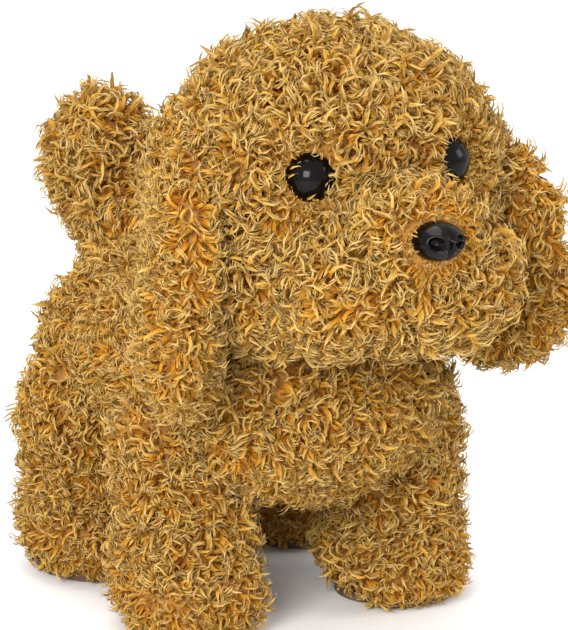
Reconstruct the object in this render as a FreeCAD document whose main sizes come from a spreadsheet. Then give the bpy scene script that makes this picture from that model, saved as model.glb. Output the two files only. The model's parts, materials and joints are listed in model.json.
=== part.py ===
import FreeCAD, Part
import math
import os
import re

# A battery-operated plush puppy that walks on four legs and wags its tail.
# It stands on Z = 0 and faces -Y, with its left side on +X. Sizes are millimetres and degrees.

SIZES = [
    # overall
    ("hip_height", 57, "hip pivots above the floor"),
    ("front_hip", -20, "front hips along Y"),
    ("rear_hip", 42, "rear hips along Y"),
    ("foot_centre", 5.5, "middle of each foot outside the leg frame's inner face"),
    ("wall", 1.6, "chassis wall"),
    ("fit", 0.3, "gap between soft or loose neighbours"),
    ("bore_play", 0.06, "radial play of a bearing"),
    # chassis
    ("chassis_half", 24, "half width of the chassis"),
    ("chassis_floor", -3.25, "underside of the chassis from the bottom of the cells"),
    ("chassis_top", 2.05, "top of the chassis above the crank gear's teeth"),
    ("chassis_nose", -10, "front of the chassis from the front hips"),
    ("chassis_tail", 2.15, "back of the chassis behind the crank gear's teeth"),
    # batteries
    ("cell_radius", 7.25, "AA cell"),
    ("cell_length", 50.5, "AA cell"),
    ("cell_spread", 0.95, "half the gap between the cells"),
    ("cell_height", 0.75, "top of the cells above the top of the tray"),
    ("cell_middle", 8, "middle of the cells along Y"),
    ("door_half", 0.55, "side of the battery door outside the cells"),
    ("door_front", -2.75, "front of the battery door from the front of the cells"),
    ("door_back", 11.25, "back of the battery door behind the cells"),
    ("screw_place", -4, "battery door screw from the back of the door"),
    ("tray_top", -4, "top of the battery tray from the hips"),
    ("contact_room", 3.4, "room for the contacts at each end of the cells"),
    # electronics
    ("board_height", -1.8, "underside of the circuit board from the hips"),
    ("board_thick", 1.6, "circuit board"),
    ("board_half", 18, "half width of the circuit board"),
    ("board_front", 3, "front of the circuit board behind the front of the chassis"),
    ("board_back", -16, "back of the circuit board from the rear hips"),
    ("speaker_radius", 13.5, "loudspeaker"),
    ("speaker_depth", 5, "loudspeaker"),
    ("speaker_height", 14, "middle of the loudspeaker above the hips"),
    ("switch_place", 5, "slide switch behind the front of the chassis"),
    ("switch_travel", 4, "travel of the switch knob"),
    # drive
    ("crank_rise", 15, "crankshaft above the hips"),
    ("throw", 2.5, "crank pin from the crankshaft axis"),
    ("module", 0.5, "tooth module"),
    ("pinion_teeth", 12, "teeth of each pinion"),
    ("wheel_teeth", 42, "teeth of the two middle wheels"),
    ("crank_teeth", 48, "teeth of the crank gear"),
    ("backlash", 0.1, "thinning of each tooth"),
    ("axle_radius", 1, "gear axles"),
    ("shaft_radius", 1.5, "crankshaft, hip screws and tail shaft"),
    ("motor_half_y", 10, "half width of the motor"),
    ("motor_half_z", 7.5, "half height of the motor"),
    ("motor_back", -16, "closed end of the motor along X"),
    ("motor_front", 9, "shaft end of the motor along X"),
    ("disc_inner", 0.7, "inner face of the crank discs outside the chassis"),
    ("disc_thick", 2.6, "crank discs"),
    ("pin_radius", 1.3, "crank pins and link pins"),
    ("slot_play", 0.85, "crank pin to each side of its slot"),
    # legs
    ("leg_inner", 4, "inner face of the leg frames outside the chassis"),
    ("leg_thick", 3, "leg frames"),
    ("link_drop", 12, "link pins below the hips"),
    ("rod_inner", 1.2, "inner face of the link rods outside the chassis"),
    ("rod_thick", 2.2, "link rods"),
    ("pad_thick", 2.4, "rubber sole pads"),
    ("boot_radius", 17, "plush leg without its pile"),
    ("boot_knee", -7, "middle of the rounded top of the plush leg from the hips"),
    ("boot_step", -7, "top of the plush leg on its inner side from the chassis"),
    ("paw_radius", 12, "rounded front of the paw"),
    ("paw_reach", 9, "middle of the paw in front of its hip"),
    ("thigh_room", 22, "radius of the leg opening in the torso"),
    ("swing", 9.46, "leg swing to each side"),
    # torso
    ("torso_radius", 28, "rounding of the plush torso"),
    ("torso_spread", -13, "middle of the rounded sides of the torso from the chassis side"),
    ("torso_height", 9, "middle of the torso above the hips"),
    ("chest_place", -9, "middle of the rounded chest from the front hips"),
    ("rump_place", 4, "middle of the rounded rump from the rear hips"),
    # tail
    ("wobble_place", -6, "wobble disc and tail shaft along X"),
    ("wobble_radius", 6, "wobble disc"),
    ("wobble_thick", 1.6, "wobble disc"),
    ("wobble_tilt", 20, "wobble disc out of square"),
    ("tail_pivot", 25.5, "tail shaft above the hips"),
    ("tail_place", 33.9, "middle of the plush tail behind the chassis"),
    ("tail_low", 21.5, "middle of the rounded bottom of the tail above its shaft"),
    ("tail_high", 31.5, "middle of the rounded top of the tail above its shaft"),
    ("tail_radius", 12.5, "plush tail without its pile"),
    ("tail_swing", 17, "tail wag to each side"),
    # head
    ("head_place", -23, "head pivot from the front hips"),
    ("head_height", 41.5, "head pivot above the chassis"),
    ("head_radius", 43, "plush head without its pile"),
    ("head_spread", 6, "half width between its rounded sides"),
    ("head_wall", 8, "thickness of the head skin and wadding"),
    ("muzzle_place", 8.5, "middle of the muzzle from the front of the head"),
    ("muzzle_height", -13, "middle of the muzzle from the head pivot"),
    ("muzzle_radius", 19, "muzzle without its pile"),
    ("muzzle_spread", 8, "half width between its rounded sides"),
    ("eye_radius", 7, "half width of the eye"),
    ("eye_seat", -4, "back of the eye from the surface of the head"),
    ("eye_turn", 25.5, "eye axis turned outward"),
    ("eye_lift", 17.5, "eye axis tipped up"),
    ("nose_height", -2, "middle of the nose from the head pivot"),
    ("nose_tip", -6.5, "tip of the nose from the front of the muzzle"),
    ("nose_half", 7.8, "half width of the nose"),
    ("nose_depth", 11, "depth of the nose"),
    ("neck_half", 7, "half width of the neck post"),
    ("neck_place", 18, "middle of the neck post behind the head pivot"),
    # ears
    ("ear_pivot_x", 0, "ear seam from the side of the head"),
    ("ear_pivot_z", 22, "ear seam above the head pivot"),
    ("ear_place", -4, "middle of the ear from the head pivot"),
    ("ear_half", 18, "half width of the ear"),
    ("ear_length", 76, "ear below its seam"),
    ("ear_thick", 9, "ear without its pile"),
    ("ear_offset", 1.5, "inner face of the ear outside its seam"),
]

# A size named here is counted from the place beside it, so that it follows that place.
COUNTED_FROM = {
    "foot_centre": "leg_inner",
    "chassis_floor": "cell_height - cell_radius",
    "chassis_top": "hip_height + crank_rise + module * (crank_teeth / 2 + 0.9)",
    "chassis_nose": "front_hip",
    "chassis_tail": "rear_hip + module * (crank_teeth / 2 + 0.9)",
    "cell_spread": "cell_radius",
    "cell_height": "tray_top - cell_radius",
    "door_half": "cell_spread + cell_radius",
    "door_front": "cell_middle - cell_length / 2",
    "door_back": "cell_middle + cell_length / 2",
    "screw_place": "door_back",
    "tray_top": "hip_height",
    "board_height": "hip_height",
    "board_front": "chassis_nose",
    "board_back": "rear_hip",
    "speaker_height": "hip_height",
    "switch_place": "chassis_nose",
    "disc_inner": "chassis_half",
    "leg_inner": "chassis_half",
    "rod_inner": "chassis_half",
    "boot_knee": "hip_height",
    "boot_step": "chassis_floor",
    "torso_spread": "chassis_half",
    "torso_height": "hip_height",
    "chest_place": "front_hip",
    "rump_place": "rear_hip",
    "tail_pivot": "hip_height",
    "tail_place": "chassis_tail",
    "tail_low": "tail_pivot",
    "tail_high": "tail_pivot",
    "head_place": "front_hip",
    "head_height": "chassis_top",
    "muzzle_place": "head_place - head_radius",
    "muzzle_height": "head_height",
    "eye_seat": "head_radius",
    "nose_height": "head_height",
    "nose_tip": "muzzle_place - muzzle_radius",
    "neck_place": "head_place",
    "ear_pivot_x": "head_spread + head_radius",
    "ear_pivot_z": "head_height",
    "ear_place": "head_place",
}

doc = FreeCAD.newDocument("PlushPuppy")
sheet = doc.addObject("Spreadsheet::Sheet", "Sizes")
for row, (alias, value, note) in enumerate(SIZES, 1):
    sheet.set(f"A{row}", alias.replace("_", " "))
    sheet.set(f"B{row}", str(value))
    sheet.set(f"C{row}", note)
    sheet.setAlias(f"B{row}", alias)
doc.recompute()

ALIASES = {alias for alias, value, note in SIZES}
AXIS_TURNS = {
    "x": FreeCAD.Rotation(FreeCAD.Vector(0, 1, 0), 90),
    "y": FreeCAD.Rotation(FreeCAD.Vector(1, 0, 0), -90),
    "z": FreeCAD.Rotation(),
}
nodes = []


def size(alias):
    """The number in the sheet's cell of that name."""
    return float(sheet.get(alias))


def spell(words):
    """Write plain names as the sheet's cells, each with the place that it is counted from."""
    def cell(found):
        name = found[0]
        if name in COUNTED_FROM:
            return f"({spell(COUNTED_FROM[name])} + Sizes.{name})"
        return "Sizes." + name if name in ALIASES else name
    return re.sub(r"[a-z_]+", cell, words)


def bind(thing, prop, words):
    """Tie a property to a sum of cells, written with their plain names."""
    thing.setExpression(prop, spell(words))


def place(thing, x, y, z):
    """Tie where a primitive stands."""
    for letter, words in zip("xyz", (x, y, z)):
        bind(thing, "Placement.Base." + letter, words)


def box(x, y, z):
    """A block between three pairs of limits."""
    block = doc.addObject("Part::Box", "Block")
    for prop, (low, high) in zip(("Length", "Width", "Height"), (x, y, z)):
        bind(block, prop, f"({high}) - ({low})")
    place(block, x[0], y[0], z[0])
    return block


def rod(axis, radius, span, across):
    """A cylinder along an axis: its span along that axis and its place on the other two."""
    bar = doc.addObject("Part::Cylinder", "Bar")
    bar.Placement = FreeCAD.Placement(FreeCAD.Vector(), AXIS_TURNS[axis])
    bind(bar, "Radius", radius)
    bind(bar, "Height", f"({span[1]}) - ({span[0]})")
    where = list(across)
    where.insert("xyz".index(axis), span[0])
    place(bar, *where)
    return bar


def ball(radius, x, y, z):
    """A sphere."""
    sphere = doc.addObject("Part::Sphere", "Ball")
    bind(sphere, "Radius", radius)
    place(sphere, x, y, z)
    return sphere


def join(*pieces):
    """One solid of several."""
    whole = doc.addObject("Part::MultiFuse", "Joined")
    whole.Shapes = list(pieces)
    return whole


def trim(base, *tools):
    """A solid less one or more others."""
    rest = doc.addObject("Part::Cut", "Trimmed")
    rest.Base = base
    rest.Tool = tools[0] if len(tools) == 1 else join(*tools)
    return rest


def overlap(first, second):
    """What two solids share."""
    shared = doc.addObject("Part::Common", "Shared")
    shared.Base = first
    shared.Tool = second
    return shared


def capsule(axis, radius, span, across):
    """A cylinder with round ends, whose centres are the ends of the span."""
    ends = []
    for end in span:
        where = list(across)
        where.insert("xyz".index(axis), end)
        ends.append(ball(radius, *where))
    return join(rod(axis, radius, span, across), *ends)


def mirrored(source, label):
    """The same piece on the other side of the centre plane."""
    copy = doc.addObject("Part::Mirroring", "Mirrored")
    copy.Source = source
    copy.Base = FreeCAD.Vector(0, 0, 0)
    copy.Normal = FreeCAD.Vector(1, 0, 0)
    return node(copy, label)


def node(thing, label):
    """Name a finished sub-part."""
    thing.Label = label
    nodes.append(thing)
    return thing


def both_sides(piece, name):
    """A left piece and its mirror image."""
    left = node(piece, name + "_left")
    return left, mirrored(left, name + "_right")


def gear_profile(teeth, first_angle):
    """A closed outline of straight-flanked involute teeth in the XY plane."""
    pitch = size("module") * teeth / 2
    pressure = math.radians(25)
    base = pitch * math.cos(pressure)
    root = pitch - 1.25 * size("module")
    tip = pitch + 0.9 * size("module")
    half_tooth = math.pi / (2 * teeth) - size("backlash") / (2 * pitch)

    def flank_angle(radius):
        roll = math.acos(min(1, base / radius))
        return half_tooth + (math.tan(pressure) - pressure) - (math.tan(roll) - roll)

    start = max(base, root)
    radii = [start + (tip - start) * step / 3 for step in range(4)]
    points = []
    for tooth in range(teeth):
        middle = first_angle + 2 * math.pi * tooth / teeth
        rising = [(radius, middle - flank_angle(radius)) for radius in radii]
        falling = [(radius, middle + flank_angle(radius)) for radius in reversed(radii)]
        corners = rising + falling
        if base > root:
            corners = [(root, corners[0][1])] + corners + [(root, corners[-1][1])]
        points += [FreeCAD.Vector(r * math.cos(a), r * math.sin(a), 0) for r, a in corners]
    return Part.Face(Part.makePolygon(points + points[:1]))


def gear_solid(teeth, low, high, gap_first=False):
    """A gear along local Z between two heights, with a tooth or a gap at angle zero."""
    face = gear_profile(teeth, math.pi / teeth if gap_first else 0)
    face.translate(FreeCAD.Vector(0, 0, low))
    return face.extrude(FreeCAD.Vector(0, 0, high - low))


def round_bar(radius, low, high):
    """A cylinder along local Z between two heights."""
    return Part.makeCylinder(radius, high - low, FreeCAD.Vector(0, 0, low))


def on_drive_axis(shape, label, along_y):
    """Stand a gear piece on its axis, which runs along X at the height of the crankshaft."""
    piece = doc.addObject("Part::Feature", "Gear")
    piece.Shape = shape
    turn = FreeCAD.Rotation(FreeCAD.Vector(1, 1, 1), 120)
    middle = FreeCAD.Vector(0, along_y, size("hip_height") + size("crank_rise"))
    piece.Placement = FreeCAD.Placement(middle, turn)
    return node(piece, label)


# ---- places that several pieces share ----
DRIVE = "hip_height + crank_rise"
FIRST_STEP = "module * (pinion_teeth + wheel_teeth) / 2"
LAST_STEP = "module * (pinion_teeth + crank_teeth) / 2"
GEAR_TWO = f"(rear_hip - {LAST_STEP})"
GEAR_ONE = f"({GEAR_TWO} - {FIRST_STEP})"
MOTOR = f"({GEAR_ONE} - {FIRST_STEP})"
HIPS = {"front": "front_hip", "rear": "rear_hip"}
INSIDE = "chassis_half - wall"
CELL_FRONT = "cell_middle - cell_length / 2"
CELL_BACK = "cell_middle + cell_length / 2"
LEG_OUTER = "leg_inner + leg_thick"


# ---- chassis: two half shells screwed together round the works ----
def chassis_half():
    """The left half shell, with its hip bosses, crankshaft bore and motor cradle."""
    shell = box(("0", "chassis_half"), ("chassis_nose", "chassis_tail"), ("chassis_floor", "chassis_top"))
    hollow = box(("-1", INSIDE), ("chassis_nose + wall", "chassis_tail - wall"),
                 ("chassis_floor + wall", "chassis_top - wall"))
    door_way = box(("-1", "door_half + fit"), ("door_front - fit", "door_back + fit"),
                   ("chassis_floor - 1", "chassis_floor + wall + 1"))
    switch_way = box(("-1", "switch_travel / 2 + 2"), ("switch_place - 1.8", "switch_place + 1.8"),
                     ("chassis_floor - 1", "chassis_floor + wall + 1"))
    crank_bore = rod("x", "shaft_radius + bore_play", ("0", "chassis_half + 1"), ("rear_hip", DRIVE))
    bosses = []
    holes = [door_way, switch_way, crank_bore]
    for hip in HIPS.values():
        bosses.append(rod("x", "shaft_radius + 2.2", (f"{INSIDE} - 4", "leg_inner - fit"),
                          (hip, "hip_height")))
        holes.append(rod("x", "shaft_radius", (f"{INSIDE} - 5", "leg_inner + 1"), (hip, "hip_height")))
    cradle = box(("0.5", "motor_front - 2"), (f"{MOTOR} - 6", f"{MOTOR} + 6"),
                 (f"{DRIVE} - motor_half_z - 4", f"{DRIVE} - motor_half_z"))
    strut = box(("motor_front - 5", INSIDE), (f"{MOTOR} - 5", f"{MOTOR} - 3"),
                (f"{DRIVE} - motor_half_z - 4", f"{DRIVE} - motor_half_z - 1"))
    return join(trim(shell, hollow), *bosses, cradle, strut), holes


half, half_holes = chassis_half()
axle_holes = [rod("x", "axle_radius", (f"{INSIDE} - 1", "chassis_half - 0.4"), (place_y, DRIVE))
              for place_y in (GEAR_ONE, GEAR_TWO)]
chassis_left = node(trim(half, *half_holes, *axle_holes), "chassis_left")

other, other_holes = chassis_half()
right_half = doc.addObject("Part::Mirroring", "Mirrored")
right_half.Source = trim(other, *other_holes)
right_half.Normal = FreeCAD.Vector(1, 0, 0)
bearing = box(("wobble_place - 3.4", "wobble_place + 3.4"),
              ("chassis_tail - wall - 3.5", "chassis_tail - wall"),
              ("tail_pivot - 4", "chassis_top - wall"))
tail_bore = rod("y", "shaft_radius + bore_play", ("chassis_tail - 8", "chassis_tail + 1"),
                ("wobble_place", "tail_pivot"))
chassis_right = node(trim(join(right_half, bearing), tail_bore), "chassis_right")

# ---- neck post: stands on the chassis and carries the head on a cross pin ----
post = box(("-neck_half", "neck_half"), ("neck_place - 5", "neck_place + 5"),
           ("chassis_top", "head_height - 12"))
brace = box(("-neck_half", "neck_half"), ("head_place - 4", "neck_place + 5"),
            ("head_height - 12", "head_height - 6"))
upright = box(("-neck_half", "neck_half"), ("head_place - 4", "head_place + 4"),
              ("head_height - 6", "head_height"))
eye_end = rod("x", "4", ("-neck_half", "neck_half"), ("head_place", "head_height"))
cross_pin = rod("x", "shaft_radius", ("-neck_half - 5", "neck_half + 5"), ("head_place", "head_height"))
node(join(post, brace, upright, eye_end, cross_pin), "neck_post")

# ---- batteries, their tray, door and contacts ----
tray_block = box((f"-({INSIDE}) + fit", f"{INSIDE} - fit"),
                 (f"{CELL_FRONT} - contact_room - wall", "door_back - fit"),
                 ("chassis_floor + wall + fit", "tray_top"))
tray_cuts = [box(("-cell_spread - cell_radius - 0.05", "cell_spread + cell_radius + 0.05"),
                 (f"{CELL_FRONT} - contact_room", f"{CELL_BACK} + 0.6"),
                 ("chassis_floor", "cell_height")),
             box(("-cell_spread - 4.2", "cell_spread + 4.2"), (CELL_BACK, f"{CELL_BACK} + 0.6"),
                 ("cell_height - 5", "cell_height + 4.2"))]
for side in ("-cell_spread", "cell_spread"):
    tray_cuts.append(rod("y", "cell_radius + 0.15", (f"{CELL_FRONT} - contact_room", f"{CELL_BACK} + 0.6"),
                         (side, "cell_height")))
screw_core = rod("z", "1.3", ("chassis_floor", "chassis_floor + 8.2"), ("0", "screw_place"))
node(trim(tray_block, *tray_cuts, screw_core), "battery_tray")


def battery(side):
    """One AA cell with its raised positive end."""
    can = rod("y", "cell_radius", (CELL_FRONT, f"{CELL_BACK} - 1"), (side, "cell_height"))
    nub = rod("y", "2.7", (f"{CELL_BACK} - 1", CELL_BACK), (side, "cell_height"))
    return join(can, nub)


def spring(side):
    """A conical battery spring, drawn as rings on a cone, from the tray wall to the cell."""
    core = doc.addObject("Part::Cone", "Cone")
    core.Placement = FreeCAD.Placement(FreeCAD.Vector(), AXIS_TURNS["y"])
    core.Radius1 = 4.4
    core.Radius2 = 2.4
    bind(core, "Height", "contact_room - 0.2")
    place(core, side, f"{CELL_FRONT} - contact_room", "cell_height")
    rings = []
    for turn in range(4):
        ring = doc.addObject("Part::Torus", "Ring")
        ring.Placement = FreeCAD.Placement(FreeCAD.Vector(), AXIS_TURNS["y"])
        ring.Radius1 = 4.2 - 0.5 * turn
        ring.Radius2 = 0.4
        step = f"(contact_room - 1) * {turn} / 3"
        place(ring, side, f"{CELL_FRONT} - contact_room + 0.4 + {step}", "cell_height")
        rings.append(ring)
    return join(core, *rings)


both_sides(battery("cell_spread"), "battery_cell")
both_sides(spring("cell_spread"), "battery_spring")
node(box(("-cell_spread - 4", "cell_spread + 4"), (f"{CELL_BACK} + 0.1", f"{CELL_BACK} + 0.5"),
         ("cell_height - 4", "cell_height + 4")), "battery_contact")

door_plate = box(("-door_half", "door_half"), ("door_front", "door_back"),
                 ("chassis_floor", "chassis_floor + wall"))
door_hole = rod("z", "1.4", ("chassis_floor - 1", "chassis_floor + wall + 1"), ("0", "screw_place"))
head_seat = rod("z", "2.5", ("chassis_floor - 1", "chassis_floor + 0.9"), ("0", "screw_place"))
grip = box(("-6", "6"), ("door_front + 3", "door_front + 4"), ("chassis_floor - 1", "chassis_floor + 0.5"))
grip_two = box(("-6", "6"), ("door_front + 5.5", "door_front + 6.5"),
               ("chassis_floor - 1", "chassis_floor + 0.5"))
node(trim(door_plate, door_hole, head_seat, grip, grip_two), "battery_door")
screw_head = rod("z", "2.4", ("chassis_floor", "chassis_floor + 0.9"), ("0", "screw_place"))
screw_shank = rod("z", "1.15", ("chassis_floor", "chassis_floor + 8"), ("0", "screw_place"))
screw_cross = box(("-1.6", "1.6"), ("screw_place - 0.3", "screw_place + 0.3"),
                  ("chassis_floor - 1", "chassis_floor + 0.5"))
node(trim(join(screw_head, screw_shank), screw_cross), "door_screw")

# ---- electronics ----
board = box(("-board_half", "board_half"), ("board_front", "board_back"),
            ("board_height", "board_height + board_thick"))
chip = box(("-12", "-3"), ("board_front + 8", "board_front + 17"),
           ("board_height + board_thick", "board_height + board_thick + 1.6"))
capacitor = rod("z", "2.5", ("board_height + board_thick", "board_height + board_thick + 4"),
                ("12", "board_front + 8"))
transistor = box(("6", "10"), ("board_front + 18", "board_front + 22"),
                 ("board_height + board_thick", "board_height + board_thick + 1.8"))
node(join(board, chip, capacitor, transistor), "circuit_board")

SPEAKER_FACE = "chassis_nose + wall"
speaker_frame = rod("y", "speaker_radius", (SPEAKER_FACE, f"{SPEAKER_FACE} + 1.2"), ("0", "speaker_height"))
speaker_basket = rod("y", "speaker_radius - 3", (SPEAKER_FACE, f"{SPEAKER_FACE} + 3"),
                     ("0", "speaker_height"))
speaker_magnet = rod("y", "6", (SPEAKER_FACE, f"{SPEAKER_FACE} + speaker_depth"), ("0", "speaker_height"))
node(join(speaker_frame, speaker_basket, speaker_magnet), "speaker")

SWITCH_FLOOR = "chassis_floor + wall"
switch_can = box(("-switch_travel / 2 - 4", "switch_travel / 2 + 4"),
                 ("switch_place - 2.6", "switch_place + 2.6"),
                 (f"{SWITCH_FLOOR} + 0.8", f"{SWITCH_FLOOR} + 5"))
switch_feet = box(("-switch_travel / 2 - 4", "switch_travel / 2 + 4"),
                  ("switch_place + 1.9", "switch_place + 2.6"),
                  (SWITCH_FLOOR, f"{SWITCH_FLOOR} + 0.8"))
node(join(switch_can, switch_feet), "switch_body")
knob_stem = box(("-switch_travel / 2 - 1.5", "-switch_travel / 2 + 1.5"),
                ("switch_place - 1.5", "switch_place + 1.5"),
                ("chassis_floor - 1.2", f"{SWITCH_FLOOR} + 0.6"))
node(knob_stem, "switch_knob")

# ---- motor and gears ----
can = rod("x", "motor_half_y", ("motor_back", "motor_front"), (MOTOR, DRIVE))
can_flats = box(("motor_back", "motor_front"), (f"{MOTOR} - motor_half_y", f"{MOTOR} + motor_half_y"),
                (f"{DRIVE} - motor_half_z", f"{DRIVE} + motor_half_z"))
nose_boss = rod("x", "3", ("motor_front", "motor_front + 1.2"), (MOTOR, DRIVE))
shaft_hole = rod("x", "1 + bore_play", ("motor_front - 3", "motor_front + 2"), (MOTOR, DRIVE))
node(trim(join(overlap(can, can_flats), nose_boss), shaft_hole), "motor")

axle = size("axle_radius")
play = size("bore_play")
pinion_teeth = int(size("pinion_teeth"))
wheel_teeth = int(size("wheel_teeth"))
crank_teeth = int(size("crank_teeth"))
wide_step = size("module") * (pinion_teeth + wheel_teeth) / 2
crank_step = size("module") * (pinion_teeth + crank_teeth) / 2
gear_two_y = size("rear_hip") - crank_step
gear_one_y = gear_two_y - wide_step
motor_y = gear_one_y - wide_step
pinion_x = size("motor_front") + 2
wheel_x = pinion_x + 0.5

pinion = gear_solid(pinion_teeth, pinion_x, pinion_x + 3, gap_first=True)
pinion = pinion.fuse(round_bar(1, size("motor_front") - 2.5, pinion_x + 3))
on_drive_axis(pinion, "motor_pinion", motor_y)

gear_one = gear_solid(wheel_teeth, wheel_x, wheel_x + 2)
gear_one = gear_one.fuse(gear_solid(pinion_teeth, wheel_x + 2, wheel_x + 6.5, gap_first=True))
gear_one = gear_one.cut(round_bar(axle + play, wheel_x - 1, wheel_x + 8))
on_drive_axis(gear_one, "gear_one", gear_one_y)

gear_two = gear_solid(wheel_teeth, wheel_x + 3.5, wheel_x + 5.5)
gear_two = gear_two.fuse(round_bar(2, wheel_x - 1, wheel_x + 4))
gear_two = gear_two.fuse(gear_solid(pinion_teeth, wheel_x - 4, wheel_x - 0.5, gap_first=True))
gear_two = gear_two.cut(round_bar(axle + play, wheel_x - 5, wheel_x + 7))
on_drive_axis(gear_two, "gear_two", gear_two_y)

shaft_end = size("chassis_half") + size("disc_inner") + 1.8
crankshaft = gear_solid(crank_teeth, wheel_x - 3.5, wheel_x - 1.5)
crankshaft = crankshaft.fuse(round_bar(3.5, wheel_x - 3.5, wheel_x + 1))
crankshaft = crankshaft.fuse(round_bar(size("shaft_radius"), -shaft_end, shaft_end))
wobble = round_bar(size("wobble_radius"), -size("wobble_thick") / 2, size("wobble_thick") / 2)
wobble.rotate(FreeCAD.Vector(), FreeCAD.Vector(0, 1, 0), size("wobble_tilt"))
wobble.translate(FreeCAD.Vector(0, 0, size("wobble_place")))
hub = round_bar(2.6, size("wobble_place") - 2.4, size("wobble_place") + 2.4)
crankshaft = crankshaft.fuse(wobble).fuse(hub)
on_drive_axis(crankshaft, "crankshaft", size("rear_hip"))

PLATE = "(motor_front - 4)"
plate_block = box((PLATE, f"{PLATE} + 1.5"), (f"{GEAR_ONE} - 2.4", "chassis_tail - wall - fit"),
                  (f"{DRIVE} - 6", f"{DRIVE} + 6"))
plate_roof = box((PLATE, f"{PLATE} + 1.5"), (f"{GEAR_TWO} - 3", f"{GEAR_TWO} + 3"),
                 (f"{DRIVE} + 5", "chassis_top - wall"))
plate_bores = [rod("x", "shaft_radius + bore_play", (f"{PLATE} - 1", f"{PLATE} + 2"), ("rear_hip", DRIVE)),
               rod("x", "axle_radius", (f"{PLATE} - 1", f"{PLATE} + 2"), (GEAR_ONE, DRIVE)),
               rod("x", "axle_radius", (f"{PLATE} - 1", f"{PLATE} + 2"), (GEAR_TWO, DRIVE))]
node(trim(join(plate_block, plate_roof), *plate_bores), "gearbox_plate")
node(rod("x", "axle_radius", (PLATE, "chassis_half - 0.4"), (GEAR_ONE, DRIVE)), "axle_one")
node(rod("x", "axle_radius", (PLATE, "chassis_half - 0.4"), (GEAR_TWO, DRIVE)), "axle_two")


def crank_disc(label, sign, pin_side):
    """A crank disc with its pin; the two pins are half a turn apart."""
    def span(low, high):
        if sign > 0:
            return (low, high)
        return (f"-({high})", f"-({low})")
    disc = rod("x", "throw + pin_radius + 1.8", span("disc_inner", "disc_inner + disc_thick"),
               ("rear_hip", DRIVE))
    pin = rod("x", "pin_radius", span("disc_inner + disc_thick - 1", f"{LEG_OUTER} - fit"),
              ("rear_hip", f"{DRIVE} {pin_side} throw"))
    bore = rod("x", "shaft_radius", span("disc_inner - 1", "disc_inner + 1.8"), ("rear_hip", DRIVE))
    node(join(trim(disc, bore), pin), label)


crank_disc("crank_disc_left", 1, "+")
crank_disc("crank_disc_right", -1, "-")


# ---- legs ----
def leg_frame(place_name):
    """A leg's plastic plate, from the foot to its hip, with the crank slot on a rear leg."""
    hip = HIPS[place_name]
    shank = box(("leg_inner", LEG_OUTER), (f"{hip} - 6", f"{hip} + 6"), ("pad_thick + 3", "hip_height"))
    foot = box(("leg_inner - 8", f"{LEG_OUTER} + 14"), (f"{hip} - 15", f"{hip} + 13"),
               ("pad_thick + 3", "pad_thick + 6"))
    boss = rod("x", "8", ("leg_inner", LEG_OUTER), (hip, "hip_height"))
    ring = rod("x", "11", (LEG_OUTER, f"{LEG_OUTER} + 2"), (hip, "hip_height"))
    ring_web = rod("x", "11", ("leg_inner + 1", LEG_OUTER), (hip, "hip_height"))
    link_pin = rod("x", "pin_radius", ("rod_inner - 0.4", "leg_inner + 1"), (hip, "hip_height - link_drop"))
    ring_hole = rod("x", "4.6", (LEG_OUTER, f"{LEG_OUTER} + 3"), (hip, "hip_height"))
    hip_bore = rod("x", "shaft_radius + bore_play", ("leg_inner - 1", f"{LEG_OUTER} + 1"),
                   (hip, "hip_height"))
    pieces = [shank, foot, boss, ring, ring_web, link_pin]
    cuts = [ring_hole, hip_bore]
    if place_name == "rear":
        arm_half = "pin_radius + slot_play + 2"
        slot_half = "pin_radius + slot_play"
        arm_top = f"{DRIVE} + throw + pin_radius + 3"
        pieces.append(box(("leg_inner", LEG_OUTER), (f"{hip} - ({arm_half})", f"{hip} + {arm_half}"),
                          ("hip_height", arm_top)))
        cuts.append(box(("leg_inner - 1", f"{LEG_OUTER} + 3"),
                        (f"{hip} - ({slot_half})", f"{hip} + {slot_half}"),
                        (f"{DRIVE} - throw - pin_radius - 0.5", f"{DRIVE} + throw + pin_radius + 0.5")))
    return trim(join(*pieces), *cuts)


def leg_boot(place_name):
    """A plush leg and paw round its frame; above the belly it stays outside the frame."""
    hip = HIPS[place_name]
    shank = rod("z", "boot_radius", ("pad_thick", "boot_knee"), ("foot_centre", hip))
    knee = ball("boot_radius", "foot_centre", hip, "boot_knee")
    paw = capsule("x", "paw_radius", ("foot_centre - 5", "foot_centre + 5"),
                  (f"{hip} - paw_reach", "pad_thick + paw_radius - 1"))
    under = box(("0", "80"), (f"{hip} - 40", f"{hip} + 40"), ("-20", "pad_thick"))
    inboard = box(("0", f"{LEG_OUTER} + 2.2"), (f"{hip} - 40", f"{hip} + 40"),
                  ("boot_step", "hip_height + 40"))
    plate_room = box(("leg_inner - 0.2", f"{LEG_OUTER} + 0.2"), (f"{hip} - 6.2", f"{hip} + 6.2"),
                     ("pad_thick + 5", "boot_step + 1"))
    foot_room = box(("leg_inner - 8.2", f"{LEG_OUTER} + 14.2"), (f"{hip} - 15.2", f"{hip} + 13.2"),
                    ("pad_thick + 2.8", "pad_thick + 6.2"))
    pad_room = box(("leg_inner - 6.2", f"{LEG_OUTER} + 12.2"), (f"{hip} - 13.2", f"{hip} + 11.2"),
                   ("pad_thick - 1", "pad_thick + 3"))
    return trim(join(shank, knee, paw), under, inboard, plate_room, foot_room, pad_room)


def sole_pad(place_name):
    """A rubber pad with rounded ends, plugged up into the foot."""
    hip = HIPS[place_name]
    sole = join(rod("z", "boot_radius - 1", ("0", "pad_thick"), ("foot_centre", f"{hip} + 0.5")),
                rod("z", "boot_radius - 3", ("0", "pad_thick"), ("foot_centre", f"{hip} - 5")))
    plug = box(("leg_inner - 6", f"{LEG_OUTER} + 12"), (f"{hip} - 13", f"{hip} + 11"), ("0", "pad_thick + 3"))
    return join(sole, plug)


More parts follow.
